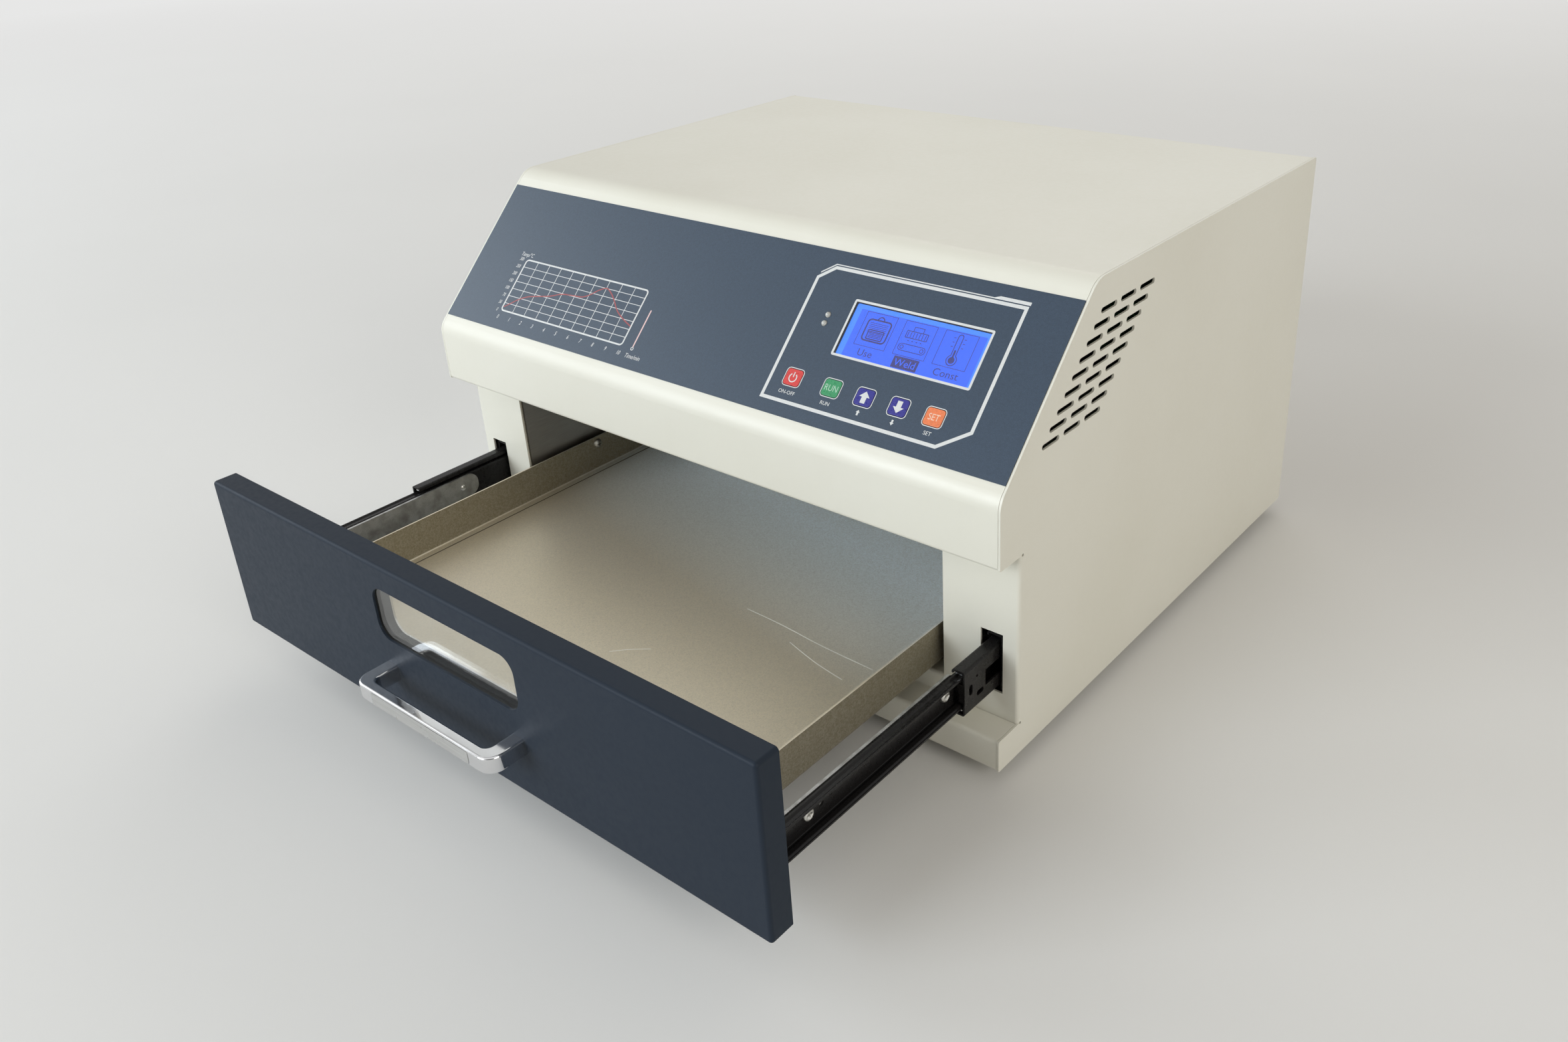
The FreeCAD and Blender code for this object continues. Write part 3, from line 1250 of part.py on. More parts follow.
def window_frame():
    """Ring that holds the glass against the front, as deep as the hollow behind it."""
    y0 = DOOR_Y + DOOR_SHEET + GLASS_T
    ring = window_block(FRAME_EDGE, y0, DOOR_BACK_Y)
    return ring.cut(window_block(WINDOW_FLARE, y0 - GLASS_T, DOOR_BACK_Y + BACK_T))


def handle_screw_points():
    y = DOOR_Y + DOOR_SHEET
    return [Vec(side * HANDLE_PITCH / 2, y, HANDLE_Z) for side in (-1, 1)]


def handle():
    """Flat bow bar on two legs, with a sunk field along its front."""
    half = HANDLE_PITCH / 2 + HANDLE_LEG / 2
    front = DOOR_Y - HANDLE_REACH
    inner = front + HANDLE_T
    leg = half - HANDLE_LEG
    corners = [(-half, DOOR_Y), (-half, front), (half, front), (half, DOOR_Y),
               (leg, DOOR_Y), (leg, inner), (-leg, inner), (-leg, DOOR_Y)]
    radii = [0, HANDLE_R, HANDLE_R, 0, 0, HANDLE_R / 2, HANDLE_R / 2, 0]
    bow = outline(corners, radii, plan_view(HANDLE_Z - HANDLE_H / 2)).extrude(Vec(0, 0, HANDLE_H))
    flat = [e for e in bow.Edges if e.BoundBox.ZLength < HANDLE_EDGE]
    bow = bow.makeFillet(HANDLE_EDGE, [e for e in flat if e.BoundBox.YMin < DOOR_Y - HANDLE_EDGE])
    field = aimed_back(rounded_block(INLAY_L, INLAY_H, HANDLE_EDGE, 0, HANDLE_T),
                       Vec(0, front + INLAY_SINK, HANDLE_Z))
    depth = Vec(0, HANDLE_REACH / 2, 0)
    holes = [rod(HOLE_R, p - depth, depth * 2) for p in handle_screw_points()]
    return bow.cut([field] + holes)


def handle_inlay():
    thickness = INLAY_SINK + INLAY_PROUD
    width = INLAY_L - 2 * HOLE_PLAY
    height = INLAY_H - 2 * HOLE_PLAY
    strip = rounded_block(width, height, HANDLE_EDGE, 0, thickness)
    return aimed_back(strip, Vec(0, DOOR_Y - HANDLE_REACH + INLAY_SINK, HANDLE_Z))


def ear_screw_points():
    x = TRAY_W / 2 - TRAY_T - TRAY_EAR / 2
    return [Vec(side * x, DRAWER_Y + TRAY_T, EAR_SCREW_Z) for side in (-1, 1)]


def drawer_screw_points():
    """Screws through the back plate for the arms and for the tray's ears."""
    p = arm_screw_point()
    return [p, Vec(-p.x, p.y, p.z)] + ear_screw_points()


def drawer_screws():
    """Screws of the handle, the tray's ears and the arms."""
    screws = [screw(p, Vec(0, 1, 0), DOOR_SHEET + HANDLE_REACH / 3) for p in handle_screw_points()]
    screws += [screw(p, Vec(0, 1, 0), TRAY_T + BACK_T + SCREW_END) for p in ear_screw_points()]
    p = arm_screw_point() - Vec(0, BACK_T + ARM_T, 0)
    one = screw(p, Vec(0, -1, 0), BACK_T + ARM_T)
    return screws + [one, mirrored(one)]


def tray():
    """Open tray with upstanding walls, a front edge turned down and two ears on the drawer's back."""
    half = TRAY_W / 2
    under = TRAY_FLOOR_Z - TRAY_T
    y0 = DRAWER_Y
    y1 = DRAWER_Y + TRAY_L
    section = [(half, TRAY_TOP_Z), (half, under), (-half, under), (-half, TRAY_TOP_Z)]
    nose_y = y0 + TRAY_T
    walls = bent_sheet(section, [BEND_IN] * 2, -TRAY_T, front_view(nose_y), Vec(0, TRAY_L - TRAY_T, 0))
    inner = half - TRAY_T - BEND_IN
    rear = block((-inner, inner), (y1 - TRAY_T, y1), (under, TRAY_TOP_Z))
    turn = TRAY_NOSE - TRAY_T
    nose_z = TRAY_FLOOR_Z - TRAY_NOSE
    edge = [(nose_y + 3 * TRAY_NOSE, TRAY_FLOOR_Z), (nose_y, TRAY_FLOOR_Z), (nose_y, nose_z)]
    nose = bent_sheet(edge, [turn - TRAY_T], TRAY_T, side_view(-inner), Vec(2 * inner, 0, 0))
    mouth = block((-inner, inner), (y0, nose_y + 2 * TRAY_NOSE), (under - TRAY_T, TRAY_FLOOR_Z + BEND_IN))
    walls = walls.cut(mouth)
    pieces = [walls, rear, nose]
    ear_z = (EAR_SCREW_Z - EAR_SCREW_DROP, TRAY_TOP_Z)
    for x0, x1 in ((half - TRAY_T - TRAY_EAR, half), (-half, -half + TRAY_T + TRAY_EAR)):
        pieces.append(block((x0, x1), (y0, nose_y), ear_z))
    holes = [rod(HOLE_R, p - Vec(0, 2 * TRAY_T, 0), Vec(0, 4 * TRAY_T, 0)) for p in ear_screw_points()]
    return fused(pieces).cut(holes)


# Write every piece

def save(name, shape):
    """Move a piece, or a list of like pieces, to the part's origin and write it."""
    whole = Part.makeCompound(shape) if isinstance(shape, list) else shape
    placed = moved(whole, 0, -MIDDLE_Y, FOOT_H)
    placed.exportStep("parts/" + name + ".step")


def save_pair(name, shape):
    """Write a right-hand piece and its mirror image on the left."""
    left = [mirrored(s) for s in shape] if isinstance(shape, list) else mirrored(shape)
    save("right_" + name, shape)
    save("left_" + name, left)


os.makedirs("parts", exist_ok=True)

save("base_pan", base_pan())
save_pair("side_panel", side_panel())
save("top_cover", top_cover())
save("rear_panel", rear_panel())
save("case_screws", case_screws())
save("rubber_feet", rubber_feet())
save("foot_screws", foot_screws())

save("control_overlay", control_overlay())
save("lcd_window", lcd_window())
save("lcd_frame", lcd_frame())
save("lcd_panel", lcd_panel())
save("indicator_leds", indicator_leds())
for key_name, key_x in key_places():
    save(key_name, key(key_x))
save("control_board", control_board())
save("board_standoffs", board_standoffs())

save("chamber_liner", chamber_liner())
save("insulation", insulation())
save("reflector", reflector())
save("heater_tubes", heater_tubes())
save("heater_end_caps", heater_end_caps())
save("heater_brackets", heater_brackets())
save("thermocouple", thermocouple())

save("heat_shield", heat_shield())
save("power_board", power_board())
save("transformer", transformer())
save("solid_state_relay", solid_state_relay())
save("wiring_loom", wiring_loom())
save("fan_frame", fan_frame())
save("fan_rotor", fan_rotor())
save("fan_guard", fan_guard())
save("fan_screws", fan_screws())
save("power_inlet", power_inlet())
save("fuse_drawer", fuse_drawer())

save_pair("outer_rail", outer_rail())
save_pair("rail_bracket", rail_bracket())
save("outer_rail_screws", outer_rail_screws())
save("right_mid_rail", mid_rail(MID_OPEN_RIGHT))
save("left_mid_rail", mirrored(mid_rail(MID_OPEN_LEFT)))
save("right_ball_cages", ball_cages(MID_OPEN_RIGHT))
save("left_ball_cages", [mirrored(s) for s in ball_cages(MID_OPEN_LEFT)])
save_pair("inner_rail", inner_rail())
save_pair("drawer_arm", drawer_arm())
save("rail_screws", rail_screws())

save("drawer_front", drawer_front())
save("drawer_back_plate", drawer_back_plate())
save("window_glass", window_glass())
save("window_frame", window_frame())
save("handle", handle())
save("handle_inlay", handle_inlay())
save("tray", tray())
save("drawer_screws", drawer_screws())
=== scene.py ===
import json
import math

import bmesh
import bpy
from mathutils import Matrix, Vector

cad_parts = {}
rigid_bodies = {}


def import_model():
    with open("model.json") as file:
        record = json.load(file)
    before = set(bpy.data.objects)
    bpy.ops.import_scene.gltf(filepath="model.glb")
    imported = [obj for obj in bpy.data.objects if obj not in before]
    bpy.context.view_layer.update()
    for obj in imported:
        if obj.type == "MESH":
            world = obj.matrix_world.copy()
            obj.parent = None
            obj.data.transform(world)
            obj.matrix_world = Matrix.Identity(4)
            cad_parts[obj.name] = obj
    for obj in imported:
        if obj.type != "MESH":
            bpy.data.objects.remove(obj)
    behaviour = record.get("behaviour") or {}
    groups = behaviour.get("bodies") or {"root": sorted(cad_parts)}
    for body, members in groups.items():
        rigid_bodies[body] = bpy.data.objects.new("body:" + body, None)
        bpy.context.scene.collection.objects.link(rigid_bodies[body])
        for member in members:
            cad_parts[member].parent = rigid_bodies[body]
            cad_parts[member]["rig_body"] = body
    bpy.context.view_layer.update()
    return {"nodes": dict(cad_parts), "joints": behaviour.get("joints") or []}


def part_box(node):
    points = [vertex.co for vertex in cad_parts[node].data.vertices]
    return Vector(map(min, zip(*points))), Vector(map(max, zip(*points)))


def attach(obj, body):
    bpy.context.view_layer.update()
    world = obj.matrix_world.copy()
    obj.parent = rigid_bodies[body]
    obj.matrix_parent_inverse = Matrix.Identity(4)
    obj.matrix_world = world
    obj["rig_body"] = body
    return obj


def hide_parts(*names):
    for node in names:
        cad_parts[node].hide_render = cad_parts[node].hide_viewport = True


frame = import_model()
NODES = frame["nodes"]
JOINTS = {joint["name"]: joint for joint in frame["joints"]}
MM = 0.001

# The sloped control face: across it, up it and straight out of it
ACROSS = Vector((1, 0, 0))
OUT = -Vector(JOINTS["key_run_press"]["axis"]).normalized()
UP = OUT.cross(ACROSS)


# Finishes

# The values that most of a noise pattern lies between
NOISE_RANGE = (0.3, 0.7)
# How much of a lit display's colour shows without its light
UNLIT_SHARE = 0.2
# The sockets for colours on a Mix node
MIX_SHARE, MIX_FIRST, MIX_SECOND, MIX_RESULT = 0, 6, 7, 2


class Tree:
    """The shader nodes of a material or of the world."""

    def __init__(self, owner):
        owner.use_nodes = True
        self.nodes, self.links = owner.node_tree.nodes, owner.node_tree.links

    def node(self, kind, inputs, output, **settings):
        """Adds a node with its settings and inputs, and gives one of its outputs."""
        made = self.nodes.new(kind)
        for setting, value in settings.items():
            setattr(made, setting, value)
        for socket, value in inputs.items():
            if isinstance(value, bpy.types.NodeSocket):
                self.links.new(value, made.inputs[socket])
            else:
                made.inputs[socket].default_value = value
        return made.outputs[output]

    def ramp(self, pattern, start, end, low=0.0, high=1.0):
        """Runs from low to high while the pattern runs from start to end."""
        inputs = {"Value": pattern, "From Min": start, "From Max": end, "To Min": low, "To Max": high}
        return self.node("ShaderNodeMapRange", inputs, "Result")

    def maths(self, operation, first, second):
        return self.node("ShaderNodeMath", {0: first, 1: second}, "Value", operation=operation)

    def dot(self, first, second):
        return self.node("ShaderNodeVectorMath", {0: first, 1: second}, "Value", operation="DOT_PRODUCT")

    def looking(self):
        """1 for a look at the background, straight or in metal and glass, and 0 for its light."""
        rays = self.nodes.new("ShaderNodeLightPath").outputs
        outside = self.maths("MAXIMUM", rays["Is Camera Ray"], rays["Is Glossy Ray"])
        return self.maths("MAXIMUM", outside, rays["Is Transmission Ray"])

    def choose(self, share, first, second):
        """Passes from one shader to another by the share."""
        return self.node("ShaderNodeMixShader", {0: share, 1: first, 2: second}, "Shader")


class Finish(Tree):
    """One shader with patterns that lie in the object's own space, their sizes in millimetres."""

    def __init__(self, name, colour, roughness, **sockets):
        self.material = bpy.data.materials.new(name)
        super().__init__(self.material)
        self.shader = self.nodes["Principled BSDF"]
        self.set("Base Color", (*colour, 1))
        self.set("Roughness", roughness)
        for socket, value in sockets.items():
            self.set(socket.replace("_", " "), value)
        self.place = self.nodes.new("ShaderNodeTexCoord").outputs["Object"]
        self.colour = self.normal = None

    def set(self, socket, value):
        self.shader.inputs[socket].default_value = value

    def feed(self, socket, value):
        self.links.new(value, self.shader.inputs[socket])

    def scaled(self, size, stretch=(1, 1, 1)):
        """The place on the object, in units of a size that is stretched along the axes."""
        scale = [1 / (size * MM * share) for share in stretch]
        return self.node("ShaderNodeMapping", {"Vector": self.place, "Scale": scale}, "Vector")

    def noise(self, size, detail, stretch=(1, 1, 1)):
        place = self.scaled(size, stretch)
        return self.node("ShaderNodeTexNoise", {"Vector": place, "Scale": 1.0, "Detail": detail}, "Fac")

    def cells(self, size):
        return self.node("ShaderNodeTexVoronoi", {"Vector": self.scaled(size), "Scale": 1.0}, "Color")

    def along(self, way, start, end):
        """Runs from 0 to 1 between two places along a direction."""
        return self.ramp(self.dot(self.place, way), start * MM, end * MM)

    def upright(self):
        """1 where the surface stands upright, 0 where it lies flat."""
        lying, standing = 0.7, 0.2
        faces = self.nodes.new("ShaderNodeTexCoord").outputs["Normal"]
        height = self.node("ShaderNodeSeparateXYZ", {"Vector": faces}, "Z")
        return self.ramp(height, lying, standing)

    def tint(self, share, colour):
        """Turns the colour so far towards another one by the share."""
        before = self.colour
        if before is None:
            before = self.shader.inputs["Base Color"].default_value
        inputs = {MIX_SHARE: share, MIX_FIRST: before, MIX_SECOND: (*colour, 1)}
        self.colour = self.node("ShaderNodeMix", inputs, MIX_RESULT, data_type="RGBA")
        self.feed("Base Color", self.colour)
        return self

    def gloss(self, pattern, low, high):
        """Varies the roughness with a pattern."""
        self.feed("Roughness", self.ramp(pattern, *NOISE_RANGE, low, high))
        return self

    def relief(self, pattern, depth):
        """Raises the surface by a pattern, on top of the relief so far."""
        inputs = {"Height": pattern, "Strength": 1.0, "Distance": depth * MM}
        if self.normal is not None:
            inputs["Normal"] = self.normal
        self.normal = self.node("ShaderNodeBump", inputs, "Normal")
        self.feed("Normal", self.normal)
        return self


def coat(name, colour, shade, roughness, grain, depth, **sockets):
    """Powder or wet paint: a slow drift of shade, uneven gloss and a fine orange peel."""
    paint = Finish(name, colour, roughness, **sockets)
    paint.tint(paint.ramp(paint.noise(120, 4), 0.35, 0.75, 0, 0.7), shade)
    paint.gloss(paint.noise(3.0, 3), roughness - 0.05, roughness + 0.06)
    paint.relief(paint.noise(grain, 2), depth)
    return paint


def brushed(name, colour, shade, roughness, stretch, grain=0.25):
    """Sheet or bar metal with fine lines along its longest stretch."""
    metal = Finish(name, colour, roughness, Metallic=1.0)
    lines = metal.noise(grain, 3, stretch)
    metal.tint(metal.ramp(lines, 0.3, 0.75), shade)
    metal.gloss(metal.noise(18, 3), roughness - 0.06, roughness + 0.08)
    metal.relief(lines, 0.004)
    return metal


def moulded(name, colour, roughness, grain=0.6, depth=0.01, **sockets):
    """Plastic or rubber from a spark-eroded mould."""
    plastic = Finish(name, colour, roughness, **sockets)
    shade = [0.7 * part for part in colour]
    plastic.tint(plastic.ramp(plastic.noise(1.1, 3), 0.35, 0.75, 0, 0.6), shade)
    plastic.gloss(plastic.noise(1.5, 2), roughness - 0.05, roughness + 0.07)
    plastic.relief(plastic.noise(grain, 2), depth)
    return plastic


def textured_film():
    """The control face's printed film: slate ink under a fine sandy grain with a satin sheen."""
    film = Finish("slate_film", (0.024, 0.043, 0.070), 0.40, Specular_IOR_Level=0.5)
    grain = film.noise(0.42, 3)
    film.tint(film.ramp(grain, 0.35, 0.7), (0.037, 0.062, 0.100))
    film.tint(film.ramp(film.noise(1.7, 3), 0.42, 0.72, 0, 0.4), (0.020, 0.034, 0.056))
    film.gloss(film.noise(0.9, 2), 0.36, 0.43)
    film.relief(grain, 0.010)
    return film


def mottled_zinc():
    """Dull strip with the grey clouds of its plating."""
    strip = Finish("mottled_strip", (0.47, 0.47, 0.46), 0.42, Metallic=0.85)
    strip.tint(strip.ramp(strip.noise(7, 4), 0.38, 0.68), (0.29, 0.285, 0.27))
    strip.tint(strip.ramp(strip.noise(0.7, 3), 0.5, 0.75, 0, 0.5), (0.24, 0.235, 0.22))
    strip.gloss(strip.noise(4, 3), 0.36, 0.50)
    return strip


def clear(name, colour, roughness, ior):
    """Glass or clear plastic with a faint film of dust in its gloss."""
    pane = Finish(name, colour, roughness, IOR=ior, Transmission_Weight=1.0)
    pane.gloss(pane.noise(9, 4), roughness, roughness + 0.03)
    return pane


def spangled_zinc():
    """The tray's galvanised sheet: crystals, specks and streaks, a painted reflection and painted shade."""
    zinc = Finish("tray_zinc", (0.74, 0.67, 0.53), 0.46, Metallic=0.6)
    # Painted reflection: warm brown at the front turning pale blue and less metallic at the rear, for
    # reflected cool light
    painted_rear_light = zinc.along((0.2, 0.98, 0), -90, 10)
    zinc.tint(painted_rear_light, (0.90, 0.98, 1.0))
    zinc.feed("Metallic", zinc.ramp(painted_rear_light, 0, 1, 0.6, 0.12))
    # Painted shade: the upright walls darker and browner than the floor
    zinc.tint(zinc.upright(), (0.24, 0.21, 0.14))
    crystals = zinc.cells(0.9)
    zinc.tint(zinc.ramp(crystals, 0.25, 0.8, 0, 0.22), (0.54, 0.51, 0.44))
    specks = zinc.noise(0.55, 3)
    zinc.tint(zinc.ramp(specks, 0.54, 0.72, 0, 0.45), (0.46, 0.43, 0.36))
    streaks = zinc.noise(0.9, 3, (1, 1, 30))
    zinc.tint(zinc.ramp(streaks, 0.5, 0.75, 0, 0.25), (0.40, 0.37, 0.30))
    zinc.gloss(zinc.noise(1.0, 3), 0.42, 0.52)
    zinc.relief(crystals, 0.002)
    zinc.relief(specks, 0.003)
    return zinc


def mineral_wool():
    wool = Finish("wool", (0.78, 0.75, 0.66), 0.95, Sheen_Weight=0.3)
    strands = wool.noise(1.2, 4, (5, 1, 1))
    wool.tint(wool.ramp(strands, 0.35, 0.7), (0.52, 0.47, 0.38))
    wool.relief(strands, 0.6)
    return wool


def solder_mask():
    board = Finish("circuit_board", (0.02, 0.16, 0.06), 0.3, Coat_Weight=0.4)
    tracks = board.noise(3.0, 1, (1, 6, 1))
    board.tint(board.ramp(tracks, 0.52, 0.55), (0.05, 0.3, 0.1))
    board.relief(tracks, 0.03)
    return board


def laminated_iron():
    iron = Finish("core_iron", (0.11, 0.10, 0.10), 0.45, Metallic=0.6)
    plates = iron.noise(0.6, 1, (40, 1, 40))
    iron.tint(iron.ramp(plates, 0.4, 0.6), (0.05, 0.045, 0.045))
    iron.relief(plates, 0.06)
    return iron


def printed(name, colour, roughness=0.45):
    """Screen ink, a little uneven."""
    ink = Finish(name, colour, roughness)
    ink.tint(ink.ramp(ink.noise(0.8, 3), 0.4, 0.8, 0, 0.5), [0.86 * part for part in colour])
    ink.gloss(ink.noise(2, 2), roughness - 0.06, roughness + 0.06)
    return ink


def lit(name, colour, shade):
    """A lit display: nearly all of its colour is its own light."""
    unlit, unlit_shade = ([UNLIT_SHARE * part for part in tone] for tone in (colour, shade))
    glass = Finish(name, unlit, 0.35, Emission_Color=(*colour, 1), Emission_Strength=1.0)
    glass.tint(glass.ramp(glass.noise(20, 2), *NOISE_RANGE), unlit_shade)
    return glass


FINISHES = {
    "ivory_paint": coat("ivory_coat", (0.76, 0.742, 0.655), (0.71, 0.688, 0.592), 0.40, 0.55, 0.012),
    "slate_paint": coat("slate_coat", (0.021, 0.029, 0.042), (0.019, 0.026, 0.038), 0.40, 0.7, 0.003,
                        Specular_IOR_Level=0.09),
    "rail_black": coat("rail_coat", (0.010, 0.010, 0.011), (0.016, 0.014, 0.012), 0.28, 0.9, 0.004,
                       Specular_IOR_Level=0.18),
    "overlay_film": textured_film(),
    "display_frame": moulded("display_frame_black", (0.012, 0.012, 0.014), 0.5),
    "black_plastic": moulded("black_moulding", (0.014, 0.014, 0.015), 0.42),
    "foot_rubber": moulded("foot_rubber_black", (0.012, 0.012, 0.012), 0.75, 0.8, 0.03),
    "window_black": moulded("window_ring_black", (0.012, 0.012, 0.012), 0.6),
    "white_ceramic": moulded("unglazed_ceramic", (0.72, 0.70, 0.64), 0.7, 0.8, 0.03),
    "wire_jacket": moulded("red_wire_jacket", (0.33, 0.012, 0.012), 0.4),
    "lamp_lens": moulded("lamp_grey", (0.50, 0.50, 0.47), 0.25, 0.5, 0.004, Coat_Weight=0.5),
    "key_red": moulded("key_red_gloss", (0.66, 0.055, 0.05), 0.3, 0.5, 0.004),
    "key_green": moulded("key_green_gloss", (0.045, 0.30, 0.125), 0.3, 0.5, 0.004),
    "key_blue": moulded("key_indigo_gloss", (0.032, 0.030, 0.25), 0.3, 0.5, 0.004),
    "key_orange": moulded("key_orange_gloss", (0.82, 0.22, 0.085), 0.3, 0.5, 0.004),
    "zinc_steel": brushed("zinc_plate", (0.66, 0.65, 0.61), (0.52, 0.51, 0.47), 0.32, (4, 4, 1)),
    "stainless": brushed("mill_sheet", (0.42, 0.395, 0.36), (0.33, 0.305, 0.275), 0.40, (1, 60, 1)),
    "bright_aluminium": brushed("bright_sheet", (0.80, 0.80, 0.80), (0.68, 0.68, 0.68), 0.2, (1, 60, 1)),
    "bright_wire": brushed("plated_wire", (0.74, 0.74, 0.74), (0.60, 0.60, 0.60), 0.16, (3, 3, 3)),
    "ball_steel": brushed("ball_steel_bright", (0.70, 0.70, 0.70), (0.55, 0.55, 0.55), 0.22, (1, 20, 1)),
    "grey_steel": mottled_zinc(),
    "handle_chrome": brushed("polished_chrome", (0.80, 0.80, 0.81), (0.74, 0.74, 0.75), 0.10, (8, 8, 8),
                             grain=2.0),
    "handle_satin": brushed("satin_strip", (0.72, 0.72, 0.71), (0.58, 0.58, 0.57), 0.30, (80, 1, 1)),
    "window_pane": clear("window_glass_clear", (0.93, 0.95, 0.94), 0.0, 1.47),
    "display_pane": clear("display_pane_clear", (0.95, 0.96, 0.98), 0.02, 1.49),
    "quartz": clear("quartz_tube", (0.90, 0.88, 0.84), 0.12, 1.46),
    "display_glass": lit("display_azure", (0.035, 0.24, 1.0), (0.02, 0.18, 0.9)),
    "wool": mineral_wool(),
    "circuit_board": solder_mask(),
    "core_iron": laminated_iron(),
}
OWN_FINISH = {"tray": spangled_zinc()}
INK_WHITE = printed("ink_white", (0.67, 0.675, 0.665))
INK_RED = printed("ink_red", (0.36, 0.062, 0.064))
INK_PINK = printed("ink_pink", (0.72, 0.52, 0.50))
KEY_INKS = {"run": printed("ink_pale_green", (0.40, 0.60, 0.46)),
            "set": printed("ink_pale_orange", (0.86, 0.60, 0.46))}
DISPLAY_FIELD = lit("display_violet", (0.012, 0.115, 0.95), (0.008, 0.10, 0.90))
DISPLAY_MARK = lit("display_mark", (0.012, 0.012, 0.17), (0.010, 0.010, 0.15))
# Painted shade: a dark line for the shadow along the tray's seams
SEAM_SHADE = printed("tray_seam_shade", (0.060, 0.050, 0.036), 0.7)
SCRATCH_FINISH = printed("tray_scratch", (0.94, 0.93, 0.88), 0.6)


def dress(node, finish):
    mesh = NODES[node].data
    mesh.materials.clear()
    mesh.materials.append(finish.material)


for name, node in NODES.items():
    dress(name, OWN_FINISH.get(name) or FINISHES[node.data.materials[0].name])


# Where the pins of the mains inlet are, in millimetres: how far from its middle, below its top and before
# its rear
PINS_ACROSS = 8.1
PINS_BELOW = (9.9, 18.1)
PINS_BEFORE = (3.0, 18.9)


def steel_pins():
    """Bright pins in the black mains inlet: the faces round its middle, inside its walls."""
    mesh = NODES["power_inlet"].data
    mesh.materials.append(FINISHES["zinc_steel"].material)
    low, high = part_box("power_inlet")
    middle = (low[0] + high[0]) / 2
    for face in mesh.polygons:
        x, y, z = face.center
        across, before, below = abs(x - middle) / MM, (high[1] - y) / MM, (high[2] - z) / MM
        beside = across < PINS_ACROSS and PINS_BELOW[0] < below < PINS_BELOW[1]
        if beside and PINS_BEFORE[0] < before < PINS_BEFORE[1]:
            face.material_index = 1


steel_pins()


# Flat prints

def reach(node, direction):
    """Lowest and highest place of a node along a direction."""
    along = [vertex.co.dot(direction) for vertex in NODES[node].data.vertices]
    return min(along), max(along)


FILM_FOOT = UP * reach("control_overlay", UP)[0]


def rounded(left, right, low, high, radius, steps=6):
    """Outline of a rectangle with round corners, from its lower right one and anticlockwise."""
    corners = ((right - radius, low + radius, 270), (right - radius, high - radius, 0),
               (left + radius, high - radius, 90), (left + radius, low + radius, 180))
    points = []
    for x, v, start in corners:
        for step in range(steps + 1):
            turn = math.radians(start + 90 * step / steps)
            points.append((x + radius * math.cos(turn), v + radius * math.sin(turn)))
    return points


def arc(x, v, radius, start, end, steps=16):
    turns = [math.radians(start + (end - start) * step / steps) for step in range(steps + 1)]
    return [(x + radius * math.cos(turn), v + radius * math.sin(turn)) for turn in turns]


def circle(x, v, radius, points=16):
    return arc(x, v, radius, 0, 360 - 360 / points, points - 1)


def smooth(points, steps=6):
    """A smooth line through the points."""
    padded = [points[0], *points, points[-1]]
    line = []
    for a, b, c, d in zip(padded, padded[1:], padded[2:], padded[3:]):
        for step in range(steps):
            t = step / steps
            line.append([0.5 * (2 * q + (r - p) * t + (2 * p - 5 * q + 4 * r - s) * t * t
                                + (3 * q - p - 3 * r + s) * t ** 3) for p, q, r, s in zip(a, b, c, d)])
    return line + [points[-1]]


# Layers of ink and wear: where each starts and ends above its ground, in millimetres
INK = (-0.02, 0.05)
OVER_INK = (-0.02, 0.08)
DISPLAY_INK = (0.03, 0.09)
OVER_DISPLAY_INK = (0.08, 0.12)
WEAR = (-0.02, 0.03)
# Corners of a print or a screw that are closer than this are one, in metres
PRINT_WELD, SCREW_WELD = 1e-7, 1e-6


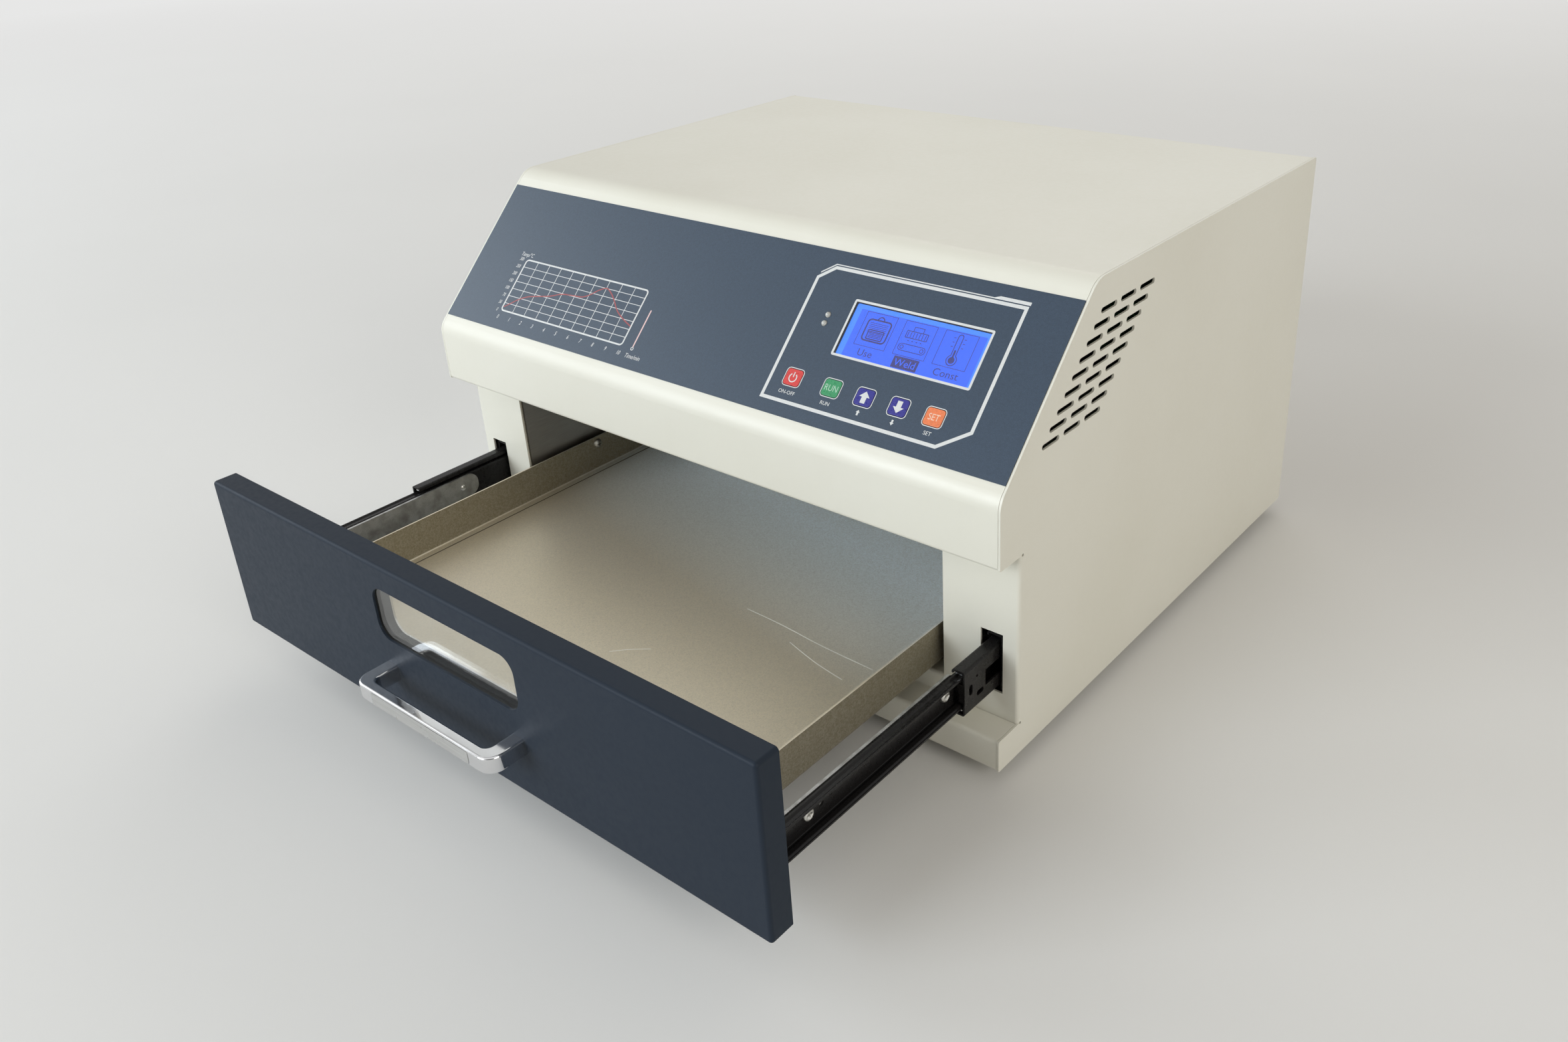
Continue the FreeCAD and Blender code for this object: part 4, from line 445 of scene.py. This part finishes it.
class Print:
    """Shapes a hair thick on a plane, drawn in millimetres across and up it."""

    def __init__(self, origin, across=ACROSS, up=UP, layer=INK):
        self.origin, self.across, self.up = origin, across, up
        self.out = across.cross(up)
        self.sink, self.rise = layer
        self.mesh = bmesh.new()

    def vertex(self, x, v, out):
        return self.mesh.verts.new(self.origin + (self.across * x + self.up * v + self.out * out) * MM)

    def patch(self, outline):
        low = [self.vertex(x, v, self.sink) for x, v in outline]
        high = [self.vertex(x, v, self.rise) for x, v in outline]
        self.mesh.faces.new(high)
        self.mesh.faces.new(low[::-1])
        for i in range(len(low)):
            self.mesh.faces.new((low[i - 1], low[i], high[i], high[i - 1]))

    def line(self, points, width, closed=False):
        points = [Vector(point) for point in points]
        rows = []
        for i, here in enumerate(points):
            before = points[i - 1] if closed or i > 0 else None
            after = points[(i + 1) % len(points)] if closed or i < len(points) - 1 else None
            ways = []
            if before is not None:
                ways.append((here - before).normalized())
            if after is not None:
                ways.append((after - here).normalized())
            sides = [Vector((-way.y, way.x)) for way in ways]
            middle = (sides[0] + sides[-1]).normalized()
            offset = middle * (width / 2 / middle.dot(sides[0]))
            left, right = here + offset, here - offset
            rows.append([self.vertex(*left, self.sink), self.vertex(*right, self.sink),
                         self.vertex(*right, self.rise), self.vertex(*left, self.rise)])
        pairs = list(zip(rows, rows[1:]))
        if closed:
            pairs.append((rows[-1], rows[0]))
        else:
            self.mesh.faces.new(rows[0])
            self.mesh.faces.new(rows[-1][::-1])
        for one, two in pairs:
            for k in range(4):
                self.mesh.faces.new((one[k - 1], one[k], two[k], two[k - 1]))

    def words(self, text, x, v, size, lean=0.0, align="CENTER", squeeze=1.0):
        curve = bpy.data.curves.new("words", "FONT")
        curve.body, curve.size, curve.align_x, curve.shear = text, size, align, lean
        curve.resolution_u, curve.extrude = 3, 0.5
        holder = bpy.data.objects.new("words", curve)
        bpy.context.scene.collection.objects.link(holder)
        flat = bpy.data.meshes.new_from_object(holder)
        made = [self.vertex(x + p.co.x * squeeze, v + p.co.y, self.rise if p.co.z > 0 else self.sink)
                for p in flat.vertices]
        for face in flat.polygons:
            self.mesh.faces.new([made[k] for k in face.vertices])
        bpy.data.objects.remove(holder)
        bpy.data.curves.remove(curve)
        bpy.data.meshes.remove(flat)

    def piece(self, name, finish, body="case", slot="overlay_film"):
        bmesh.ops.remove_doubles(self.mesh, verts=self.mesh.verts, dist=PRINT_WELD)
        bmesh.ops.recalc_face_normals(self.mesh, faces=self.mesh.faces)
        mesh = bpy.data.meshes.new(name)
        self.mesh.to_mesh(mesh)
        self.mesh.free()
        add_piece(name, mesh, finish, body)


def film_print(carrier, x=0.0, v=0.0, layer=INK):
    """A print on a piece of the control face, from the film's foot and middle."""
    return Print(FILM_FOOT + OUT * reach(carrier, OUT)[1] + (ACROSS * x + UP * v) * MM, layer=layer)


def add_piece(name, mesh, finish, body):
    """Adds a mesh that rides on a body, in the finish given."""
    mesh.materials.clear()
    mesh.materials.append(finish.material)
    made = bpy.data.objects.new(name, mesh)
    bpy.context.scene.collection.objects.link(made)
    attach(made, body)
    return made


# The temperature graph on the left of the control face

# Edges here and below are left, right, low and high, in millimetres from the film's middle and its foot
GRAPH = (-167.6, -55.6, 12.6, 48.9)
GRAPH_COLUMNS = 10
GRAPH_ROWS = 7
GRAPH_TEMPERATURES = (0, 50, 70, 100, 150, 200, 250, 300)
GRAPH_CORNER = 2.2
GRAPH_EDGE, GRAPH_GRID, CURVE_WIDTH = 1.0, 0.38, 0.68
GRAPH_LEAN = 0.25
MINUTE_SIZE, MINUTE_SQUEEZE, MINUTE_DROP = 3.8, 0.8, 5.9
DEGREE_SIZE, DEGREE_SQUEEZE, DEGREE_DROP, DEGREE_GAP = 3.4, 0.75, 1.3, 3.2
AXIS_SIZE = 3.9
# Text, place and squeeze of the label on each axis
AXIS_LABELS = (("Temp/°C", -175.4, 50.9, 0.8), ("Time/min", -49.8, 6.4, 0.85))
POINTER_FOOT = (-46.5, 12.4)
POINTER_RING, POINTER_RING_WIDTH = 0.9, 0.5
POINTER_ENDS, POINTER_WIDTH = ((-46.5, 13.3), (-46.4, 37.6)), 0.95
# Points of the curve, in columns across and rows up
GRAPH_CURVE = ((0.1, 0.45), (0.5, 1.1), (1.0, 1.9), (1.6, 2.5), (2.4, 2.9), (3.2, 3.3), (4.0, 3.9),
               (4.9, 4.1), (5.6, 4.25), (6.1, 4.8), (6.5, 5.5), (7.0, 6.0), (7.4, 5.7), (7.9, 4.95),
               (8.5, 3.8), (9.1, 3.1), (9.95, 2.4))


def graph_place(column, row):
    """Place on the film of a column across the graph and a row up it."""
    left, right, low, high = GRAPH
    return left + (right - left) / GRAPH_COLUMNS * column, low + (high - low) / GRAPH_ROWS * row


def graph_print():
    """The grid with its numbers and labels, and the ring at the pointer's foot."""
    graph = film_print("control_overlay")
    graph.line(rounded(*GRAPH, GRAPH_CORNER), GRAPH_EDGE, closed=True)
    for i in range(1, GRAPH_COLUMNS):
        graph.line([graph_place(i, 0), graph_place(i, GRAPH_ROWS)], GRAPH_GRID)
    for i in range(1, GRAPH_ROWS):
        graph.line([graph_place(0, i), graph_place(GRAPH_COLUMNS, i)], GRAPH_GRID)
    for i in range(GRAPH_COLUMNS + 1):
        x, v = graph_place(i, 0)
        graph.words(str(i), x, v - MINUTE_DROP, MINUTE_SIZE, GRAPH_LEAN, "CENTER", MINUTE_SQUEEZE)
    for i, number in enumerate(GRAPH_TEMPERATURES):
        x, v = graph_place(0, i)
        x, v = x - DEGREE_GAP, v - DEGREE_DROP
        graph.words(str(number), x, v, DEGREE_SIZE, GRAPH_LEAN, "RIGHT", DEGREE_SQUEEZE)
    for label, x, v, squeeze in AXIS_LABELS:
        graph.words(label, x, v, AXIS_SIZE, GRAPH_LEAN, "LEFT", squeeze)
    graph.line(circle(*POINTER_FOOT, POINTER_RING), POINTER_RING_WIDTH, closed=True)
    graph.piece("graph_print", INK_WHITE)


def graph_curve():
    curve = film_print("control_overlay", layer=OVER_INK)
    curve.line(smooth([graph_place(*point) for point in GRAPH_CURVE]), CURVE_WIDTH)
    curve.piece("graph_curve", INK_RED)


def graph_pointer():
    pointer = film_print("control_overlay")
    pointer.line(POINTER_ENDS, POINTER_WIDTH)
    pointer.piece("graph_pointer", INK_PINK)


graph_print()
graph_curve()
graph_pointer()


# The white frame of the control field, the border of the display and the labels

CONTROL_FRAME = ((56.9, 8.3), (57.0, 80.4), (66.1, 87.8), (185.5, 87.8), (185.5, 19.9), (169.8, 8.3))
CONTROL_STRIP = ((57.4, 83.0), (65.6, 89.4), (186.9, 89.4), (186.9, 91.2), (169.0, 91.2), (166.0, 90.0),
                 (65.2, 90.0), (57.4, 83.9))
FRAME_WIDTH, BORDER_WIDTH, KEY_LINE = 1.9, 1.3, 0.42
LCD_MIDDLE = (130.95, 56.35)
LCD_BORDER, LCD_CORNER = (88.0, 174.0, 40.5, 72.3), 0.5
# Where the middle of each key is across the film
KEYS = {"power": 71.6, "run": 97.7, "up": 119.3, "down": 140.9, "set": 162.5}
KEY_LEVEL = 22.3
KEY_HALF_WIDTH, KEY_HALF_HEIGHT, KEY_CORNER = 5.85, 5.2, 2.2
LABELS = {"power": "ON-OFF", "run": "RUN", "set": "SET"}
LABEL_LEVEL, LABEL_SIZE = 12.6, 3.0
SMALL_ARROW, SMALL_ARROW_LIFT = (2.4, 3.0), 1.2
ARROWS = {"up": 1, "down": -1}


def arrow(x, v, width, height, way):
    """Outline of a block arrow that points up or down."""
    half, stem, neck = width / 2, width / 4.4, height * 0.02
    shape = ((-stem, -height / 2), (stem, -height / 2), (stem, neck), (half, neck), (0, height / 2),
             (-half, neck), (-stem, neck))
    return [(x + a, v + b * way) for a, b in shape][::way]


def control_print():
    controls = film_print("control_overlay")
    controls.line(CONTROL_FRAME, FRAME_WIDTH, closed=True)
    controls.patch(CONTROL_STRIP)
    controls.line(rounded(*LCD_BORDER, LCD_CORNER, 2), BORDER_WIDTH, closed=True)
    for x in KEYS.values():
        sides = (x - KEY_HALF_WIDTH, x + KEY_HALF_WIDTH)
        levels = (KEY_LEVEL - KEY_HALF_HEIGHT, KEY_LEVEL + KEY_HALF_HEIGHT)
        controls.line(rounded(*sides, *levels, KEY_CORNER), KEY_LINE, closed=True)
    for key, label in LABELS.items():
        controls.words(label, KEYS[key], LABEL_LEVEL, LABEL_SIZE)
    for key, way in ARROWS.items():
        controls.patch(arrow(KEYS[key], LABEL_LEVEL + SMALL_ARROW_LIFT, *SMALL_ARROW, way))
    controls.piece("control_print", INK_WHITE)


control_print()


# Signs on the keys, which move with them

# Middle and radius of the ring of the power sign, the degrees where it starts and ends, and its bar
POWER_RING, POWER_ENDS = (0, -0.3, 2.4), (125, 415)
POWER_BAR = ((0, 0.1), (0, 3.0))
POWER_STROKE = 0.62
KEY_ARROW = (6.6, 6.6)
KEY_WORD_SIZE, KEY_WORD_SQUEEZE, KEY_WORD_DROP = 5.0, 0.86, 1.75


def key_sign(key):
    sign = film_print("key_" + key, KEYS[key], KEY_LEVEL)
    if key in ARROWS:
        sign.patch(arrow(0, 0, *KEY_ARROW, ARROWS[key]))
    elif key == "power":
        sign.line(arc(*POWER_RING, *POWER_ENDS, 24), POWER_STROKE)
        sign.line(POWER_BAR, POWER_STROKE)
    else:
        sign.words(LABELS[key], 0, -KEY_WORD_DROP, KEY_WORD_SIZE, squeeze=KEY_WORD_SQUEEZE)
    sign.piece("key_sign_" + key, KEY_INKS.get(key, INK_WHITE), "key_" + key)


for key in KEYS:
    key_sign(key)


# The picture on the display, drawn from its middle

DISPLAY_PICTURE, DISPLAY_CORNER = (-38.2, 40.4, -14.7, 12.6), 0.3
# The middles of the three small frames and of the signs in them
PICTURE_MIDDLES = (-24.0, 1.1, 25.8)
SIGN_MIDDLES = (-23.6, 1.1, 25.8)
PICTURE_HALF, PICTURE_LOW, PICTURE_HIGH = 9.8, -7.2, 12.0
PICTURE_EDGE = 0.3
WORDS = {"Use": -24.6, "Const": 26.0}
WORD_LEVEL, WORD_SIZE, WORD_STRETCH = -12.7, 5.6, 1.1
CHOSEN_BAR = (-6.6, 9.0, -14.2, -7.8)
CHOSEN_PLACE, CHOSEN_STRETCH = (1.2, -12.9), 1.05


def display_print(layer=INK):
    return film_print("lcd_panel", *LCD_MIDDLE, layer)


def rectangle(left, right, low, high):
    """Outline of a rectangle with its corners only just cut."""
    return rounded(left, right, low, high, 0.1, 1)


# The numbers in the signs are places from the sign's middle and widths of lines

def oven_sign(marks, x):
    """An oven with a handle on its lid, its heaters and the shelf inside."""
    marks.line(rounded(x - 7.4, x + 7.4, -3.9, 8.2, 2.0, 4), 0.9, closed=True)
    marks.line(arc(x, 8.2, 2.0, 0, 180), 0.7)
    for i in range(6):
        level = 6.3 - 1.0 * i
        marks.line([(x - 5.8, level), (x + 5.8, level)], 0.32)
    marks.line(rounded(x - 4.8, x + 5.0, -2.8, 2.4, 0.6, 3), 0.7, closed=True)
    for i in range(5):
        level = 1.5 - 0.8 * i
        marks.line([(x - 4.0, level), (x + 4.2, level)], 0.42)


def conveyor_sign(marks, x):
    """A heater with its fins over a belt on two wheels."""
    marks.line(rectangle(x - 3.2, x + 2.8, 6.8, 9.4), 0.4, closed=True)
    marks.line(rectangle(x - 6.8, x + 6.4, 3.0, 6.8), 0.45, closed=True)
    for i in range(7):
        fin = x - 5.7 + 1.8 * i
        marks.line([(fin, 3.4), (fin, 6.4)], 0.4)
    for i in range(4):
        dash = x - 4.5 + 2.6 * i
        marks.line([(dash, 1.4), (dash + 0.9, 1.4)], 0.5)
    marks.line(rounded(x - 8.3, x + 8.3, -4.4, -0.6, 1.8, 5), 0.4, closed=True)
    for wheel in (x - 6.2, x + 6.2):
        marks.line(circle(wheel, -2.5, 1.0), 0.4, closed=True)


def thermometer_sign(marks, x):
    """A thermometer with its column of liquid and three ticks on each side."""
    marks.line([*arc(x, 9.6, 1.4, 0, 180, 8), *arc(x, -3.2, 2.9, 118, 422, 18)], 0.5, closed=True)
    marks.patch([*arc(x, 2.0, 0.55, 0, 180, 6), *arc(x, -3.2, 1.9, 105, 435, 16)])
    for side in (-1, 1):
        for i in range(3):
            level = 8.8 - 2.4 * i
            marks.line([(x + side * 2.5, level), (x + side * 3.7, level)], 0.4)


def display_field():
    field = display_print()
    field.patch(rounded(*DISPLAY_PICTURE, DISPLAY_CORNER, 2))
    field.piece("display_field", DISPLAY_FIELD, slot="display_glass")


def display_marks():
    """Three framed signs, a word under each outer one and a dark bar under the middle one."""
    marks = display_print(DISPLAY_INK)
    for x in PICTURE_MIDDLES:
        edges = rectangle(x - PICTURE_HALF, x + PICTURE_HALF, PICTURE_LOW, PICTURE_HIGH)
        marks.line(edges, PICTURE_EDGE, closed=True)
    for draw, x in zip((oven_sign, conveyor_sign, thermometer_sign), SIGN_MIDDLES):
        draw(marks, x)
    for word, x in WORDS.items():
        marks.words(word, x, WORD_LEVEL, WORD_SIZE, squeeze=WORD_STRETCH)
    marks.patch(rectangle(*CHOSEN_BAR))
    marks.piece("display_marks", DISPLAY_MARK, slot="display_glass")


def display_highlight():
    chosen = display_print(OVER_DISPLAY_INK)
    chosen.words("Weld", *CHOSEN_PLACE, WORD_SIZE, squeeze=CHOSEN_STRETCH)
    chosen.piece("display_highlight", DISPLAY_FIELD, slot="display_glass")


display_field()
display_marks()
display_highlight()


# Screws with a cross in each head

# In shares of the head's radius: where its rim starts, how far an arm of the cross reaches, half an arm's
# width, and the height and scale of the cutter's two ends
HEAD_RIM = 0.9
CROSS_REACH, CROSS_HALF_WIDTH = 0.62, 0.17
CROSS_ENDS = ((0.3, 1.0), (-0.55, 0.62))
# Cosine and sine of the turn of each arm
CROSS_TURNS = ((1, 0), (0, 1), (-1, 0), (0, -1))
SHARP_EDGE = math.radians(35)
SCREW_NODES = ("case_screws", "rail_screws", "drawer_screws", "fan_screws", "foot_screws",
               "outer_rail_screws")


def islands(mesh):
    """The corners of each separate screw, always in the same order."""
    seen = set()
    for start in mesh.verts:
        if start in seen:
            continue
        seen.add(start)
        found, edge = [], [start]
        while edge:
            vertex = edge.pop()
            found.append(vertex.co.copy())
            for link in vertex.link_edges:
                other = link.other_vert(vertex)
                if other not in seen:
                    seen.add(other)
                    edge.append(other)
        yield found


def screw_head(points):
    """Middle of a screw head's face, the way it faces and its radius.

    A screw lies along the axis whose other two sizes are alike, and its head is where its rim is.
    """
    low = Vector([min(p[k] for p in points) for k in range(3)])
    high = Vector([max(p[k] for p in points) for k in range(3)])
    size, middle = high - low, (low + high) / 2
    axis = min(range(3), key=lambda k: abs(size[k - 1] - size[k - 2]))
    radius = size[axis - 1] / 2
    rim = [p[axis] for p in points
           if math.hypot(p[axis - 1] - middle[axis - 1], p[axis - 2] - middle[axis - 2]) > HEAD_RIM * radius]
    side = 1 if sum(rim) / len(rim) > middle[axis] else -1
    way = Vector((0, 0, 0))
    way[axis] = side
    face = middle.copy()
    face[axis] = high[axis] if side > 0 else low[axis]
    return face, way, radius


def add_cross(mesh, face, way, radius):
    """Adds a cutter with the form of a cross-head driver's tip."""
    turn = way.to_track_quat("Z", "Y").to_matrix()
    rings = []
    for height, share in CROSS_ENDS:
        long, wide = CROSS_REACH * radius * share, CROSS_HALF_WIDTH * radius * share
        arm = ((long, -wide), (long, wide), (wide, wide))
        outline = [(x * c - y * s, x * s + y * c) for c, s in CROSS_TURNS for x, y in arm]
        rings.append([mesh.verts.new(face + turn @ Vector((x, y, height * radius))) for x, y in outline])
    top, foot = rings
    mesh.faces.new(top)
    mesh.faces.new(foot[::-1])
    for i in range(len(top)):
        mesh.faces.new((foot[i - 1], foot[i], top[i], top[i - 1]))


def crossed(work, heads):
    """A mesh of the screws in hand with a cross recess in each head."""
    cutter = bmesh.new()
    for head in heads:
        add_cross(cutter, *head)
    bmesh.ops.recalc_face_normals(cutter, faces=cutter.faces)
    tools = []
    for mesh, name in ((work, "screws"), (cutter, "crosses")):
        data = bpy.data.meshes.new(name)
        mesh.to_mesh(data)
        mesh.free()
        tools.append(bpy.data.objects.new(name, data))
        bpy.context.scene.collection.objects.link(tools[-1])
    cut = tools[0].modifiers.new("cross", "BOOLEAN")
    cut.object, cut.operation, cut.solver = tools[1], "DIFFERENCE", "EXACT"
    bpy.context.view_layer.update()
    graph = bpy.context.evaluated_depsgraph_get()
    mesh = bpy.data.meshes.new_from_object(tools[0].evaluated_get(graph))
    for tool in tools:
        bpy.data.objects.remove(tool)
    mesh.shade_smooth()
    mesh.set_sharp_from_angle(angle=SHARP_EDGE)
    return mesh


def driven(node):
    """A copy of a node of screws with crosses in their heads."""
    work = bmesh.new()
    work.from_mesh(NODES[node].data)
    bmesh.ops.remove_doubles(work, verts=work.verts, dist=SCREW_WELD)
    heads = [screw_head(points) for points in islands(work)]
    mesh = crossed(work, heads)
    body = NODES[node]["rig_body"]
    made = add_piece(node + "_crossed", mesh, FINISHES["zinc_steel"], body)
    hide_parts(node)


for node in SCREW_NODES:
    driven(node)


# The tray: painted shade along its seams, its wear and the bolts in its walls

# Places and sizes in millimetres: the walls from the middle, the floor above the ground
TRAY_SIDE, TRAY_FLOOR = 163.8, 45.0
SEAM_SIDE, SEAM_ENDS, SEAM_WIDTH = 158.2, (-239.0, 58.0), 0.8
SCRATCHES = (((46.0, -89.9), (74.0, -90.9), (104.0, -93.6), (141.0, -94.9)),
             ((13.0, -164.9), (20.0, -157.6), (30.0, -149.9)),
             ((88.0, -101.0), (112.0, -107.5), (133.0, -111.0)))
SCRATCH_WIDTH = 0.45
# Where a bolt is along the wall and above the ground, and its radius and height from foot to crown
BOLT_PLACE = (-15.5, 63.3)
BOLT_RADIUS, BOLT_SIDES = 3.3, 28
BOLT_PROFILE = ((0, -0.6), (BOLT_RADIUS, -0.6), (BOLT_RADIUS, 0.5), (3.0, 1.2), (2.2, 1.8), (1.1, 2.1),
                (0, 2.2))


def tray_print(layer=INK):
    """A print on the tray's floor."""
    return Print(Vector((0, 0, TRAY_FLOOR * MM)), Vector((1, 0, 0)), Vector((0, 1, 0)), layer)


def tray_seams():
    # Painted shade: dark lines on the floor along both walls, for the shadow in the seams
    seams = tray_print()
    for side in (-1, 1):
        seams.line([(side * SEAM_SIDE, end) for end in SEAM_ENDS], SEAM_WIDTH)
    seams.piece("tray_seams", SEAM_SHADE, "drawer", "zinc_steel")


def tray_scratches():
    wear = tray_print(WEAR)
    for scratch in SCRATCHES:
        wear.line(smooth(scratch, 4), SCRATCH_WIDTH)
    wear.piece("tray_scratches", SCRATCH_FINISH, "drawer", "zinc_steel")


def tray_bolts():
    """Round-headed bolts inside the tray's walls."""
    work = bmesh.new()
    turns = [2 * math.pi * k / BOLT_SIDES for k in range(BOLT_SIDES)]
    spokes = [Vector((0, math.cos(turn), math.sin(turn))) for turn in turns]
    heads = []
    for side in (-1, 1):
        seat = Vector((side * TRAY_SIDE, *BOLT_PLACE)) * MM
        way = Vector((-side, 0, 0))
        rows = []
        for radius, height in BOLT_PROFILE:
            rows.append([work.verts.new(seat + (way * height + spoke * radius) * MM) for spoke in spokes])
        for one, two in zip(rows, rows[1:]):
            for k in range(BOLT_SIDES):
                work.faces.new((one[k - 1], one[k], two[k], two[k - 1]))
        crown = BOLT_PROFILE[-1][1]
        heads.append((seat + way * crown * MM, way, BOLT_RADIUS * MM))
    bmesh.ops.remove_doubles(work, verts=work.verts, dist=PRINT_WELD)
    bmesh.ops.recalc_face_normals(work, faces=work.faces)
    add_piece("tray_bolts", crossed(work, heads), FINISHES["zinc_steel"], "drawer")


tray_seams()
tray_scratches()
tray_bolts()


# Stage, light and camera, in metres

BACKDROP = (0.80, 0.80, 0.795, 1)
FLOOR_HALF = 14.0
# How far from the object the floor starts to pass into the backdrop, and where it is one with it
FADE = (1.2, 4.2)
SKY_HORIZON, SKY_ZENITH = (0.36, 0.36, 0.36, 1), (0.46, 0.435, 0.385, 1)
# The dark corner behind the viewer: its direction, the cosines where it starts and is full, and its light
DARK_CORNER = Vector((0.62, -0.76, 0.30)).normalized()
DARK_REACH, DARK_LIGHT = (0.78, 0.96), 0.2
# Place, aim, width and height, watts and colour of each lamp
SOFTBOXES = {
    "front_softbox": ((-1.6, -3.9, 1.65), (0, 0, 0.1), (2.9, 2.1), 140, (0.87, 0.94, 1.0)),
    "left_softbox": ((-4.2, -1.6, 1.7), (0, 0, 0.1), (2.5, 2.2), 64, (0.84, 0.93, 1.0)),
    "right_softbox": ((3.8, -0.8, 1.6), (0, 0, 0.1), (2.0, 2.2), 49, (1.0, 0.97, 0.91)),
    "rear_softbox": ((-1.6, 3.4, 2.4), (-1.4, 3.0, 0), (3.0, 2.0), 30, (1.0, 0.98, 0.95)),
}


def stage_floor():
    """Pale paper whose far part passes into the backdrop where it is looked at."""
    paper = Finish("floor_paper", (0.80, 0.795, 0.785), 0.9)
    paper.tint(paper.ramp(paper.noise(400, 2), *NOISE_RANGE), (0.785, 0.78, 0.77))
    distance = paper.node("ShaderNodeVectorMath", {0: paper.place}, "Value", operation="LENGTH")
    far = paper.maths("MULTIPLY", paper.ramp(distance, *FADE), paper.looking())
    glow = paper.node("ShaderNodeEmission", {"Color": BACKDROP}, "Emission")
    shown = paper.choose(far, paper.shader.outputs["BSDF"], glow)
    paper.links.new(shown, paper.nodes["Material Output"].inputs["Surface"])
    mesh = bpy.data.meshes.new("floor")
    corners = [(x * FLOOR_HALF, y * FLOOR_HALF, 0) for x, y in ((-1, -1), (1, -1), (1, 1), (-1, 1))]
    mesh.from_pydata(corners, [], [(0, 1, 2, 3)])
    mesh.materials.append(paper.material)
    floor = bpy.data.objects.new("floor", mesh)
    bpy.context.scene.collection.objects.link(floor)


def backdrop():
    """Light from all round, warmer overhead and darker in the corner behind the viewer."""
    world = bpy.data.worlds.new("studio")
    tree = Tree(world)
    way = tree.nodes.new("ShaderNodeTexCoord").outputs["Generated"]
    height = tree.node("ShaderNodeSeparateXYZ", {"Vector": way}, "Z")
    rise = tree.nodes.new("ShaderNodeValToRGB")
    for stop, colour in zip(rise.color_ramp.elements, (SKY_HORIZON, SKY_ZENITH)):
        stop.color = colour
    tree.links.new(height, rise.inputs["Fac"])
    dimmed = tree.ramp(tree.dot(way, DARK_CORNER), *DARK_REACH, 1.0, DARK_LIGHT)
    sky = tree.nodes["Background"]
    tree.links.new(rise.outputs["Color"], sky.inputs["Color"])
    tree.links.new(dimmed, sky.inputs["Strength"])
    camera_ray = tree.nodes.new("ShaderNodeLightPath").outputs["Is Camera Ray"]
    seen = {"Color": BACKDROP, "Strength": tree.maths("MAXIMUM", dimmed, camera_ray)}
    pale = tree.node("ShaderNodeBackground", seen, "Background")
    shown = tree.choose(tree.looking(), sky.outputs["Background"], pale)
    tree.links.new(shown, tree.nodes["World Output"].inputs["Surface"])
    bpy.context.scene.world = world


def softbox(name, where, target, size, power, colour):
    lamp = bpy.data.lights.new(name, "AREA")
    lamp.shape, lamp.energy, lamp.color = "RECTANGLE", power, colour
    lamp.size, lamp.size_y = size
    made = bpy.data.objects.new(name, lamp)
    made.location = where
    made.rotation_euler = (Vector(target) - Vector(where)).to_track_quat("-Z", "Y").to_euler()
    bpy.context.scene.collection.objects.link(made)


# The photograph's frame, focal length and principal point in pixels
PHOTO_WIDTH = 2359
PHOTO_MIDDLE = (1179.5, 784.0)
FOCAL_PIXELS = 1964.85
PRINCIPAL = (1289.14, 657.87)
# Where it was taken from, and its heading, dip and roll in degrees
VIEWPOINT = Vector((0.50117, -0.53355, 0.45256))
HEADING, DIP, ROLL = -39.69, -25.55, -2.57
SENSOR_WIDTH = 36.0


def camera():
    """The photograph's viewpoint."""
    heading, dip, roll = (math.radians(turn) for turn in (HEADING, DIP, ROLL))
    ahead = Vector((math.sin(heading) * math.cos(dip), math.cos(heading) * math.cos(dip), math.sin(dip)))
    right = Vector((math.cos(heading), -math.sin(heading), 0))
    up = right.cross(ahead)
    right, up = right * math.cos(roll) + up * math.sin(roll), up * math.cos(roll) - right * math.sin(roll)
    lens = bpy.data.cameras.new("camera")
    lens.sensor_width = SENSOR_WIDTH
    lens.lens = SENSOR_WIDTH * FOCAL_PIXELS / PHOTO_WIDTH
    lens.shift_x = (PHOTO_MIDDLE[0] - PRINCIPAL[0]) / PHOTO_WIDTH
    lens.shift_y = (PRINCIPAL[1] - PHOTO_MIDDLE[1]) / PHOTO_WIDTH
    lens.clip_start = 0.01
    made = bpy.data.objects.new("camera", lens)
    turned = Matrix((right, up, -ahead)).transposed().to_4x4()
    made.matrix_world = Matrix.Translation(VIEWPOINT) @ turned
    bpy.context.scene.collection.objects.link(made)
    bpy.context.scene.camera = made


stage_floor()
backdrop()
for name, setting in SOFTBOXES.items():
    softbox(name, *setting)
camera()
bpy.context.scene.view_settings.view_transform = "Standard"
